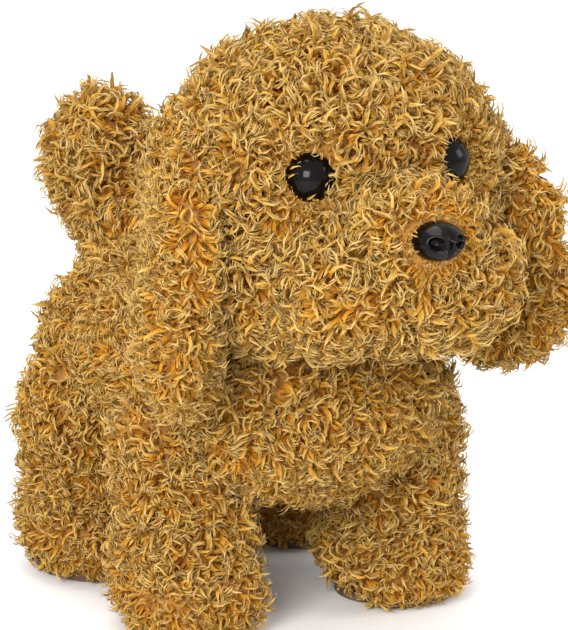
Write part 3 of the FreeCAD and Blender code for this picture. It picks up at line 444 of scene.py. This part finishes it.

# %% [markdown]
# The pile's colour runs from a deep amber root through gold to a pale tip: the pile's own amber, with painted
# shade deep at the root and a painted highlight at the tip. It reads only the strand's own map, so every
# strand can be baked, and neighbours differ by their tint.

# %% Pile and backing finishes
def pile_material():
    """Dyed acrylic pile: colour along the strand from its map, darker at the root as painted shade and paler
    at the tip as a painted highlight, with a soft sheen.
    """
    material, tree, shader = new_material("plush_pile", roughness=0.75, Sheen_Weight=0.03,
                                          Sheen_Roughness=0.4, Specular_IOR_Level=0.08)
    strand = tree.nodes.new("ShaderNodeUVMap")
    strand.uv_map = "OFBake"
    split = tree.nodes.new("ShaderNodeSeparateXYZ")
    tree.links.new(strand.outputs["UV"], split.inputs["Vector"])
    # Root to tip: a deep amber root that is partly painted shade deep in the pile, then gold, then a pale tip
    # that is partly a painted highlight.
    along = tree.nodes.new("ShaderNodeValToRGB")
    stops = along.color_ramp.elements
    stops[0].position = 0.0
    stops[0].color = (0.42, 0.135, 0.007, 1)
    stops[1].position = 1.0
    stops[1].color = (0.57, 0.41, 0.175, 1)
    for position, colour in ((0.3, (0.54, 0.240, 0.020, 1)), (0.65, (0.53, 0.315, 0.066, 1))):
        stop = stops.new(position)
        stop.color = colour
    tree.links.new(split.outputs["Y"], along.inputs["Fac"])
    steps = tree.nodes.new("ShaderNodeMath")
    steps.operation = "FLOOR"
    scaled = tree.nodes.new("ShaderNodeMath")
    scaled.operation = "MULTIPLY"
    scaled.inputs[1].default_value = TINT_COLUMNS
    tree.links.new(split.outputs["X"], scaled.inputs[0])
    tree.links.new(scaled.outputs["Value"], steps.inputs[0])
    scatter = tree.nodes.new("ShaderNodeTexWhiteNoise")
    scatter.noise_dimensions = "1D"
    tree.links.new(steps.outputs["Value"], scatter.inputs["W"])
    shade = tree.nodes.new("ShaderNodeMapRange")
    shade.inputs["To Min"].default_value = 0.78
    shade.inputs["To Max"].default_value = 1.12
    tree.links.new(scatter.outputs["Value"], shade.inputs["Value"])
    tinted = tree.nodes.new("ShaderNodeHueSaturation")
    tree.links.new(along.outputs["Color"], tinted.inputs["Color"])
    tree.links.new(shade.outputs["Result"], tinted.inputs["Value"])
    tree.links.new(tinted.outputs["Color"], shader.inputs["Base Color"])
    return material


def backing_material():
    """The knitted backing under the pile, its brown darkened as painted shade between the strands."""
    material, tree, shader = new_material("plush_backing", roughness=0.9, Sheen_Weight=0.2)
    place = add(tree, "ShaderNodeTexCoord")
    knit = add(tree, "ShaderNodeTexNoise", Scale=420.0, Detail=4.0)
    tree.links.new(place.outputs["Object"], knit.inputs["Vector"])
    # A darker brown than the pile: painted shade where the backing shows between the strands, with knit
    # mottle.
    ramp = tree.nodes.new("ShaderNodeValToRGB")
    ramp.color_ramp.elements[0].position = 0.35
    ramp.color_ramp.elements[0].color = (0.30, 0.120, 0.012, 1)
    ramp.color_ramp.elements[1].position = 0.68
    ramp.color_ramp.elements[1].color = (0.40, 0.205, 0.034, 1)
    tree.links.new(knit.outputs["Fac"], ramp.inputs["Fac"])
    tree.links.new(ramp.outputs["Color"], shader.inputs["Base Color"])
    bump = add(tree, "ShaderNodeBump", Strength=0.8, Distance=0.001)
    tree.links.new(knit.outputs["Fac"], bump.inputs["Height"])
    tree.links.new(bump.outputs["Normal"], shader.inputs["Normal"])
    return material


pile = pile_material()
backing = backing_material()

# %% [markdown]
# ## Planting
# Geometry nodes plant the strands: points at an even spacing, each strand turned to the way the
# pile lies there, spun and scaled at random. The result is applied, so it is plain mesh.

# %% The planting group
def planting_group():
    """Scatter curls over a skin that holds how the pile lies and how long it is."""
    tree = bpy.data.node_groups.new("Plant pile", "GeometryNodeTree")
    tree.is_modifier = True
    for name, kind in (("Geometry", "NodeSocketGeometry"), ("Curls", "NodeSocketCollection"),
                       ("Spacing", "NodeSocketFloat"), ("Seed", "NodeSocketInt")):
        tree.interface.new_socket(name, in_out="INPUT", socket_type=kind)
    tree.interface.new_socket("Geometry", in_out="OUTPUT", socket_type="NodeSocketGeometry")
    link = tree.links.new
    start = tree.nodes.new("NodeGroupInput")
    end = tree.nodes.new("NodeGroupOutput")

    def named(name, kind):
        node = tree.nodes.new("GeometryNodeInputNamedAttribute")
        node.data_type = kind
        node.inputs["Name"].default_value = name
        return node.outputs["Attribute"]

    def chance(kind, low, high, shift):
        node = tree.nodes.new("FunctionNodeRandomValue")
        node.data_type = kind
        slots = {"FLOAT": (2, 3, 1), "FLOAT_VECTOR": (0, 1, 0), "INT": (4, 5, 2)}[kind]
        node.inputs[slots[0]].default_value = low
        node.inputs[slots[1]].default_value = high
        seed = tree.nodes.new("ShaderNodeMath")
        seed.operation = "ADD"
        seed.inputs[1].default_value = shift
        link(start.outputs["Seed"], seed.inputs[0])
        link(seed.outputs["Value"], node.inputs["Seed"])
        return node.outputs[slots[2]]

    scatter = tree.nodes.new("GeometryNodeDistributePointsOnFaces")
    scatter.distribute_method = "POISSON"
    scatter.inputs["Density Max"].default_value = 2.2e6
    link(start.outputs["Geometry"], scatter.inputs["Mesh"])
    link(start.outputs["Spacing"], scatter.inputs["Distance Min"])
    link(start.outputs["Seed"], scatter.inputs["Seed"])
    link(named("pile_cover", "FLOAT"), scatter.inputs["Density Factor"])

    stray = tree.nodes.new("ShaderNodeVectorMath")
    stray.operation = "ADD"
    link(named("pile_lie", "FLOAT_VECTOR"), stray.inputs[0])
    link(chance("FLOAT_VECTOR", (-0.4, -0.4, -0.4), (0.4, 0.4, 0.4), 11), stray.inputs[1])
    aim = tree.nodes.new("FunctionNodeAlignRotationToVector")
    aim.axis = "Z"
    link(stray.outputs["Vector"], aim.inputs["Vector"])
    spin = tree.nodes.new("FunctionNodeAxisAngleToRotation")
    spin.inputs["Axis"].default_value = (0, 0, 1)
    link(chance("FLOAT", 0.0, 2 * math.pi, 23), spin.inputs["Angle"])
    turn = tree.nodes.new("FunctionNodeRotateRotation")
    turn.rotation_space = "LOCAL"
    link(aim.outputs["Rotation"], turn.inputs["Rotation"])
    link(spin.outputs["Rotation"], turn.inputs["Rotate By"])

    grow = tree.nodes.new("ShaderNodeMath")
    grow.operation = "MULTIPLY"
    link(named("pile_length", "FLOAT"), grow.inputs[0])
    link(chance("FLOAT", 0.7, 1.25, 37), grow.inputs[1])

    tint = tree.nodes.new("GeometryNodeStoreNamedAttribute")
    tint.data_type = "FLOAT"
    tint.domain = "POINT"
    tint.inputs["Name"].default_value = "tint"
    link(scatter.outputs["Points"], tint.inputs["Geometry"])
    link(chance("FLOAT", 0.0, 0.72, 53), tint.inputs["Value"])

    box = tree.nodes.new("GeometryNodeCollectionInfo")
    box.inputs["Separate Children"].default_value = True
    box.inputs["Reset Children"].default_value = True
    link(start.outputs["Curls"], box.inputs["Collection"])
    plant = tree.nodes.new("GeometryNodeInstanceOnPoints")
    plant.inputs["Pick Instance"].default_value = True
    link(tint.outputs["Geometry"], plant.inputs["Points"])
    link(box.outputs["Instances"], plant.inputs["Instance"])
    link(chance("INT", 0, 7, 71), plant.inputs["Instance Index"])
    link(turn.outputs["Rotation"], plant.inputs["Rotation"])
    link(grow.outputs["Value"], plant.inputs["Scale"])
    real = tree.nodes.new("GeometryNodeRealizeInstances")
    link(plant.outputs["Instances"], real.inputs["Geometry"])

    split = tree.nodes.new("ShaderNodeSeparateXYZ")
    link(named("OFBake", "FLOAT_VECTOR"), split.inputs["Vector"])
    across = tree.nodes.new("ShaderNodeMath")
    across.operation = "ADD"
    link(split.outputs["X"], across.inputs[0])
    link(named("tint", "FLOAT"), across.inputs[1])
    pair = tree.nodes.new("ShaderNodeCombineXYZ")
    link(across.outputs["Value"], pair.inputs["X"])
    link(split.outputs["Y"], pair.inputs["Y"])
    keep = tree.nodes.new("GeometryNodeStoreNamedAttribute")
    keep.data_type = "FLOAT2"
    keep.domain = "CORNER"
    keep.inputs["Name"].default_value = "OFBake"
    link(real.outputs["Geometry"], keep.inputs["Geometry"])
    link(pair.outputs["Vector"], keep.inputs["Value"])
    link(keep.outputs["Geometry"], end.inputs["Geometry"])
    return tree


planting = planting_group()
SPACING = 1.10 * MM
SWIRL_SCALE, SWIRL_FORCE = 95, 1.4
CLUMP_SCALE, CLUMP_FORCE = 100, 0.35
strands = {}


# %% Lay and length of the pile
def comb(skin, lay, length, cover):
    """Write on the skin how its pile lies, how long it is and where it grows."""
    mesh = skin.data
    for name, kind in (("pile_lie", "FLOAT_VECTOR"), ("pile_length", "FLOAT"), ("pile_cover", "FLOAT")):
        mesh.attributes.new(name, kind, "POINT")
    for vertex in mesh.vertices:
        normal = vertex.normal
        along = lay(vertex.co, normal) + noise.noise_vector(vertex.co * SWIRL_SCALE) * SWIRL_FORCE
        along = along - normal * along.dot(normal)
        mesh.attributes["pile_lie"].data[vertex.index].vector = (normal * 0.7 + along).normalized()
        clump = 1 + CLUMP_FORCE * noise.noise(vertex.co * CLUMP_SCALE)
        mesh.attributes["pile_length"].data[vertex.index].value = length(vertex.co, normal) * clump * MM
        mesh.attributes["pile_cover"].data[vertex.index].value = cover(vertex.co, normal)


def plant_pile(skin, name, seed, belongs=lambda place: True):
    """Grow the pile of one sewn panel as a piece of its own."""
    pick(skin)
    bpy.ops.object.duplicate()
    panel = bpy.context.active_object
    panel.name = name
    bpy.ops.object.mode_set(mode="EDIT")
    bpy.ops.mesh.select_mode(type="FACE")
    bpy.ops.mesh.select_all(action="DESELECT")
    bpy.ops.object.mode_set(mode="OBJECT")
    for face in panel.data.polygons:
        face.select = not belongs(face.center)
    bpy.ops.object.mode_set(mode="EDIT")
    bpy.ops.mesh.delete(type="FACE")
    bpy.ops.object.mode_set(mode="OBJECT")
    modifier = panel.modifiers.new("Plant", "NODES")
    modifier.node_group = planting
    sockets = {item.name: item.identifier for item in planting.interface.items_tree if item.in_out == "INPUT"}
    modifier[sockets["Curls"]] = curl_box
    modifier[sockets["Spacing"]] = SPACING
    modifier[sockets["Seed"]] = seed
    bpy.ops.object.modifier_apply(modifier=modifier.name)
    for extra in ("pile_lie", "pile_length", "pile_cover", "tint"):
        if extra in panel.data.attributes:
            panel.data.attributes.remove(panel.data.attributes[extra])
    wear(panel, pile)
    bpy.ops.object.shade_smooth()
    strands[name] = len(panel.data.polygons) // FACES_EACH
    print(name, strands[name], "strands")
    return panel


def eye_distance(place):
    """How far a place is from the nearer eye's middle, in millimetres, and the way away from it."""
    eyes = (seat + axis * 2 * MM for seat, axis in eye_frames.values())
    nearest = min(eyes, key=lambda eye: (eye - place).length)
    return (place - nearest).length / MM, (place - nearest).normalized()


def head_lay(place, normal):
    """The pile falls down and back from the middle of the face, and away from eyes and nose."""
    way = Vector((0.25 * place.x / 0.04, 0.1, -0.45))
    distance, away = eye_distance(place)
    if distance < 13:
        way += away * (13 - distance) / 20
    gap = place - NOSE
    if gap.length < 13 * MM:
        way += gap.normalized() * (13 * MM - gap.length) / (8 * MM)
    return way


def head_length(place, normal):
    """Long all over, trimmed by the eyes and the nose."""
    distance = eye_distance(place)[0]
    eye_trim = min(1, max(0.55, (distance - 2) / 11))
    nose_trim = min(1, max(0.4, ((place - NOSE).length / MM - 4) / 9))
    return 10.5 * min(eye_trim, nose_trim)


def head_cover(place, normal):
    """No pile under the eyes and the nose, and little inside the neck."""
    distance = eye_distance(place)[0]
    if distance < 4.8 or (place - NOSE).length < 5.4 * MM:
        return 0
    return 0.15 if place.z < HEAD.z - 36 * MM and place.y > HEAD.y - 12 * MM else 1


comb(head_skin, head_lay, head_length, head_cover)
head_panels = {
    "head_pile_front_left": lambda p: p.x >= 0 and p.y < HEAD.y - 8 * MM and p.z >= MUZZLE.z + 4 * MM,
    "head_pile_front_right": lambda p: p.x < 0 and p.y < HEAD.y - 8 * MM and p.z >= MUZZLE.z + 4 * MM,
    "head_pile_muzzle": lambda p: p.y < HEAD.y - 8 * MM and p.z < MUZZLE.z + 4 * MM,
    "head_pile_back_left": lambda p: p.x >= 0 and p.y >= HEAD.y - 8 * MM,
    "head_pile_back_right": lambda p: p.x < 0 and p.y >= HEAD.y - 8 * MM,
}
seed = 1
for name, belongs in head_panels.items():
    panel = plant_pile(head_skin, name, seed, belongs)
    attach(panel, "head")
    seed += 1

# %% [markdown]
# ## Pile on the body, legs, ears and tail
# On the body the pile hangs down the sides. On the legs it falls to the paws and stops above the
# soles. On the ears and the tail it hangs from the seam.

# %% Body pile
def body_lay(place, normal):
    """Down the sides, and a little back along the spine."""
    return Vector((0, 0.15, -0.5))


def body_length(place, normal):
    """Full length, shorter under the belly."""
    return 9.0 if normal.z > -0.5 else 7.0


def body_cover(place, normal):
    """No pile in the pocket for the chassis or inside the head."""
    off = place - Vector((0, BELLY_Y, 0))
    if abs(off.x) < 25.8 * MM and abs(off.y) < 45.8 * MM and place.z < chassis_low.z + 31 * MM:
        return 0.0
    away = place - HEAD
    return 0.0 if Vector((away.x / 42, away.y / 36, away.z / 37)).length < 1 * MM else 1.0


comb(torso_skin, body_lay, body_length, body_cover)
mid_y = (CHEST.y + RUMP.y) / 2
body_panels = {
    "body_pile_front_left": lambda p: p.x >= 0 and p.y < mid_y,
    "body_pile_front_right": lambda p: p.x < 0 and p.y < mid_y,
    "body_pile_rear_left": lambda p: p.x >= 0 and p.y >= mid_y,
    "body_pile_rear_right": lambda p: p.x < 0 and p.y >= mid_y,
}
for name, belongs in body_panels.items():
    panel = plant_pile(torso_skin, name, seed, belongs)
    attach(panel, "chassis")
    seed += 1

# %% Leg pile
def leg_lay(place, normal):
    """Down the leg and outwards at the paw."""
    if place.z > 9 * MM:
        return Vector((0, -0.1, -0.5))
    return Vector((normal.x * 0.4, normal.y * 0.4, -0.9))


def leg_length(place, normal):
    """Long on the leg, trimmed over the paw."""
    return 8.8 if place.z > 16 * MM else 7.5


for (end, side), skin in leg_skins.items():
    inward = -1 if side == "left" else 1

    def leg_cover(place, normal, inward=inward):
        """Bare sole, and thin where the leg lies against the chassis or inside the body."""
        if normal.z < -0.85 or place.z < 1.2 * MM:
            return 0.0
        if normal.x * inward > 0.6 and place.z > 34 * MM:
            return 0.12
        return 0.4 if place.z > 60 * MM else 1.0

    comb(skin, leg_lay, leg_length, leg_cover)
    panel = plant_pile(skin, f"leg_pile_{end}_{side}", seed)
    for vertex in panel.data.vertices:
        vertex.co.z = max(vertex.co.z, 0.4 * MM)
    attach(panel, f"leg_{end}_{side}")
    seed += 1

# %% Ear and tail pile
for side, skin in ear_skins.items():
    comb(skin, lambda place, normal: Vector((0, 0, -0.8)), lambda place, normal: 8.8,
         lambda place, normal: 1.0)
    panel = plant_pile(skin, f"ear_pile_{side}", seed)
    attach(panel, f"ear_flap_{side}")
    seed += 1

comb(tail_skin, lambda place, normal: Vector((0, 0.1, 0.1)), lambda place, normal: 11.0,
     lambda place, normal: 1.0)
tail_pile = plant_pile(tail_skin, "tail_pile", seed)
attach(tail_pile, "tail")
print("strands in all:", sum(strands.values()))

# %% Skins in place of the plain soft nodes
skin_rides = [(head_skin, "head", "head_plush"), (torso_skin, "chassis", "torso_plush"),
              (tail_skin, "tail", "tail_plush")]
skin_rides += [(skin, f"leg_{end}_{side}", f"leg_boot_{end}_{side}")
               for (end, side), skin in leg_skins.items()]
skin_rides += [(skin, f"ear_flap_{side}", f"ear_{side}") for side, skin in ear_skins.items()]
stands_for = {"head_plush": ("head_plush", "ear_pin_left", "ear_pin_right")}
for skin, body, node in skin_rides:
    for extra in ("pile_lie", "pile_length", "pile_cover"):
        skin.data.attributes.remove(skin.data.attributes[extra])
    wear(skin, backing)
    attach(skin, body)
    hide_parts(*stands_for.get(node, (node,)))
for curl in list(curl_box.objects):
    bpy.data.objects.remove(curl)
bpy.data.collections.remove(curl_box)
print(len(skin_rides), "skins")

# %% [markdown]
# ## Finishes of the works
# Moulded plastic has a fine grain, and its corners are rubbed paler. Each effect is a node group
# that every moulded finish uses, the grain with its own values.

# %% Shared effects
def grain_group():
    """Fine grain with a relief, and slow colour drift."""
    tree = bpy.data.node_groups.new("Moulded grain", "ShaderNodeTree")
    for name, kind, value in (("Vector", "NodeSocketVector", None), ("Scale", "NodeSocketFloat", 900.0),
                              ("Depth", "NodeSocketFloat", 0.2)):
        socket = tree.interface.new_socket(name, in_out="INPUT", socket_type=kind)
        if value is not None:
            socket.default_value = value
    for name, kind in (("Grain", "NodeSocketFloat"), ("Drift", "NodeSocketFloat"),
                       ("Normal", "NodeSocketVector")):
        tree.interface.new_socket(name, in_out="OUTPUT", socket_type=kind)
    start, end = tree.nodes.new("NodeGroupInput"), tree.nodes.new("NodeGroupOutput")
    fine = add(tree, "ShaderNodeTexNoise", Detail=3.0)
    slow = add(tree, "ShaderNodeTexNoise", Scale=45.0, Detail=2.0)
    bump = add(tree, "ShaderNodeBump", Distance=0.0002)
    tree.links.new(start.outputs["Vector"], fine.inputs["Vector"])
    tree.links.new(start.outputs["Vector"], slow.inputs["Vector"])
    tree.links.new(start.outputs["Scale"], fine.inputs["Scale"])
    tree.links.new(start.outputs["Depth"], bump.inputs["Strength"])
    tree.links.new(fine.outputs["Fac"], bump.inputs["Height"])
    tree.links.new(fine.outputs["Fac"], end.inputs["Grain"])
    tree.links.new(slow.outputs["Fac"], end.inputs["Drift"])
    tree.links.new(bump.outputs["Normal"], end.inputs["Normal"])
    return tree


def rubbed_group():
    """Where corners are rubbed: bright where the rounded normal leaves the true one."""
    tree = bpy.data.node_groups.new("Rubbed edges", "ShaderNodeTree")
    socket = tree.interface.new_socket("Amount", in_out="INPUT", socket_type="NodeSocketFloat")
    socket.default_value = 6.0
    tree.interface.new_socket("Edges", in_out="OUTPUT", socket_type="NodeSocketFloat")
    start, end = tree.nodes.new("NodeGroupInput"), tree.nodes.new("NodeGroupOutput")
    rounded = tree.nodes.new("ShaderNodeBevel")
    rounded.samples = 4
    rounded.inputs["Radius"].default_value = 0.4 * MM
    true = tree.nodes.new("ShaderNodeNewGeometry")
    meet = tree.nodes.new("ShaderNodeVectorMath")
    meet.operation = "DOT_PRODUCT"
    tree.links.new(rounded.outputs["Normal"], meet.inputs[0])
    tree.links.new(true.outputs["Normal"], meet.inputs[1])
    off = tree.nodes.new("ShaderNodeMath")
    off.operation = "SUBTRACT"
    off.inputs[0].default_value = 1.0
    tree.links.new(meet.outputs["Value"], off.inputs[1])
    more = tree.nodes.new("ShaderNodeMath")
    more.operation = "MULTIPLY"
    more.use_clamp = True
    tree.links.new(off.outputs["Value"], more.inputs[0])
    tree.links.new(start.outputs["Amount"], more.inputs[1])
    tree.links.new(more.outputs["Value"], end.inputs["Edges"])
    return tree


grain_effect = grain_group()
rubbed_effect = rubbed_group()


def moulded(name, dark, pale, rubbed, roughness, scale=900.0, depth=0.2, metal=0.0, **sockets):
    """A finish with grain, slow drift between two colours, and rubbed corners."""
    material, tree, shader = new_material(name, pale, roughness, Metallic=metal, **sockets)
    place = tree.nodes.new("ShaderNodeTexCoord")
    grain = tree.nodes.new("ShaderNodeGroup")
    grain.node_tree = grain_effect
    grain.inputs["Scale"].default_value = scale
    grain.inputs["Depth"].default_value = depth
    edges = tree.nodes.new("ShaderNodeGroup")
    edges.node_tree = rubbed_effect
    tree.links.new(place.outputs["Object"], grain.inputs["Vector"])
    body = tree.nodes.new("ShaderNodeMix")
    body.data_type = "RGBA"
    body.inputs["A"].default_value = (*dark, 1)
    body.inputs["B"].default_value = (*pale, 1)
    tree.links.new(grain.outputs["Drift"], body.inputs["Factor"])
    worn = tree.nodes.new("ShaderNodeMix")
    worn.data_type = "RGBA"
    worn.inputs["B"].default_value = (*rubbed, 1)
    tree.links.new(body.outputs["Result"], worn.inputs["A"])
    tree.links.new(edges.outputs["Edges"], worn.inputs["Factor"])
    tree.links.new(worn.outputs["Result"], shader.inputs["Base Color"])
    rough = tree.nodes.new("ShaderNodeMapRange")
    rough.inputs["To Min"].default_value = roughness - 0.08
    rough.inputs["To Max"].default_value = roughness + 0.08
    tree.links.new(grain.outputs["Grain"], rough.inputs["Value"])
    tree.links.new(rough.outputs["Result"], shader.inputs["Roughness"])
    tree.links.new(grain.outputs["Normal"], shader.inputs["Normal"])
    return material


# %% Finishes by slot
finishes = {
    "chassis_plastic": moulded("chassis_plastic", (0.055, 0.056, 0.06), (0.08, 0.08, 0.085),
                               (0.2, 0.2, 0.2), 0.48),
    "leg_plastic": moulded("leg_plastic", (0.55, 0.52, 0.44), (0.66, 0.63, 0.55), (0.8, 0.78, 0.7), 0.45),
    "gear_nylon": moulded("gear_nylon", (0.74, 0.72, 0.64), (0.82, 0.80, 0.73), (0.9, 0.89, 0.84), 0.32),
    "steel": moulded("plated_steel", (0.5, 0.5, 0.5), (0.62, 0.61, 0.6), (0.75, 0.75, 0.74), 0.3,
                     scale=500.0, metal=1.0),
    "motor_steel": moulded("motor_can", (0.42, 0.42, 0.43), (0.56, 0.56, 0.57), (0.7, 0.7, 0.7), 0.35,
                           scale=400.0, metal=1.0),
    "cell_wrap": moulded("cell_wrap", (0.015, 0.016, 0.018), (0.03, 0.03, 0.034), (0.2, 0.16, 0.1), 0.25),
    "board": moulded("circuit_board", (0.26, 0.15, 0.05), (0.36, 0.22, 0.08), (0.5, 0.36, 0.18), 0.5),
    "speaker_paper": moulded("speaker_paper", (0.02, 0.02, 0.02), (0.05, 0.05, 0.05), (0.1, 0.1, 0.1), 0.85,
                             scale=1500.0, depth=0.5),
    "knob_plastic": moulded("knob_plastic", (0.015, 0.015, 0.015), (0.03, 0.03, 0.03), (0.1, 0.1, 0.1), 0.3),
    "stuffing": moulded("stuffing", (0.66, 0.65, 0.62), (0.84, 0.83, 0.8), (0.9, 0.9, 0.88), 0.9,
                        scale=700.0, depth=1.0),
    "rubber": moulded("sole_rubber", (0.07, 0.04, 0.02), (0.11, 0.062, 0.03), (0.16, 0.1, 0.06), 0.7,
                      scale=1200.0, depth=0.5),
    "black_gloss": polish,
    "plush": backing,
}
slots = {part["node"]: part["material_slot"] for part in frame["record"]["subparts"]}
for node, thing in frame["nodes"].items():
    if not thing.material_slots:
        thing.data.materials.append(finishes[slots[node]])
    for holder in thing.material_slots:
        holder.material = finishes[slots[node]]
print(len(frame["nodes"]), "nodes finished in", len(set(slots.values())), "ways")

# %% [markdown]
# ## Studio
# A pale floor under a white sky, broad soft lights from both sides and above, and a long lens
# from a little above and to one side.

# %% Floor
bpy.ops.object.select_all(action="DESELECT")
bpy.ops.mesh.primitive_plane_add(size=8, location=(0, 0, -0.0002))
floor = bpy.context.active_object
floor.name = "floor"
wear(floor, new_material("floor_paper", (0.93, 0.93, 0.93), 0.6)[0])
print("floor", floor.dimensions[:])

# %% Light
def soft_light(name, place, size, power, aim=(0, 0, 0.08)):
    """A square soft box that points at the plush."""
    bpy.ops.object.light_add(type="AREA", location=place)
    light = bpy.context.active_object
    light.name = name
    light.data.energy = power
    light.data.size = size
    light.rotation_euler = (Vector(place) - Vector(aim)).to_track_quat("Z", "Y").to_euler()
    return light


soft_light("key", (-0.95, -0.9, 0.7), 0.6, 19)
soft_light("fill", (1.0, -0.7, 0.7), 0.6, 6)
soft_light("top", (0.0, 0.3, 1.3), 0.8, 7)
world = bpy.context.scene.world or bpy.data.worlds.new("studio")
bpy.context.scene.world = world
world.use_nodes = True
world.node_tree.nodes["Background"].inputs["Color"].default_value = (1, 1, 1, 1)
world.node_tree.nodes["Background"].inputs["Strength"].default_value = 0.95
bpy.context.scene.view_settings.view_transform = "Standard"

# %% Camera
AZIMUTH, ELEVATION, DISTANCE = math.radians(-28), math.radians(15.2), 1.262
aim = Vector((8.0, -2.2, 81.4)) * MM
away = Vector((math.sin(AZIMUTH) * math.cos(ELEVATION), -math.cos(AZIMUTH) * math.cos(ELEVATION),
               math.sin(ELEVATION)))
bpy.ops.object.camera_add(location=aim + away * DISTANCE, rotation=away.to_track_quat("Z", "Y").to_euler())
camera = bpy.context.active_object
camera.data.sensor_width = 36
camera.data.sensor_fit = "HORIZONTAL"
camera.data.lens = 278
bpy.context.scene.camera = camera
print("camera", round(camera.data.lens), "mm from", round(DISTANCE * 1000), "mm away")
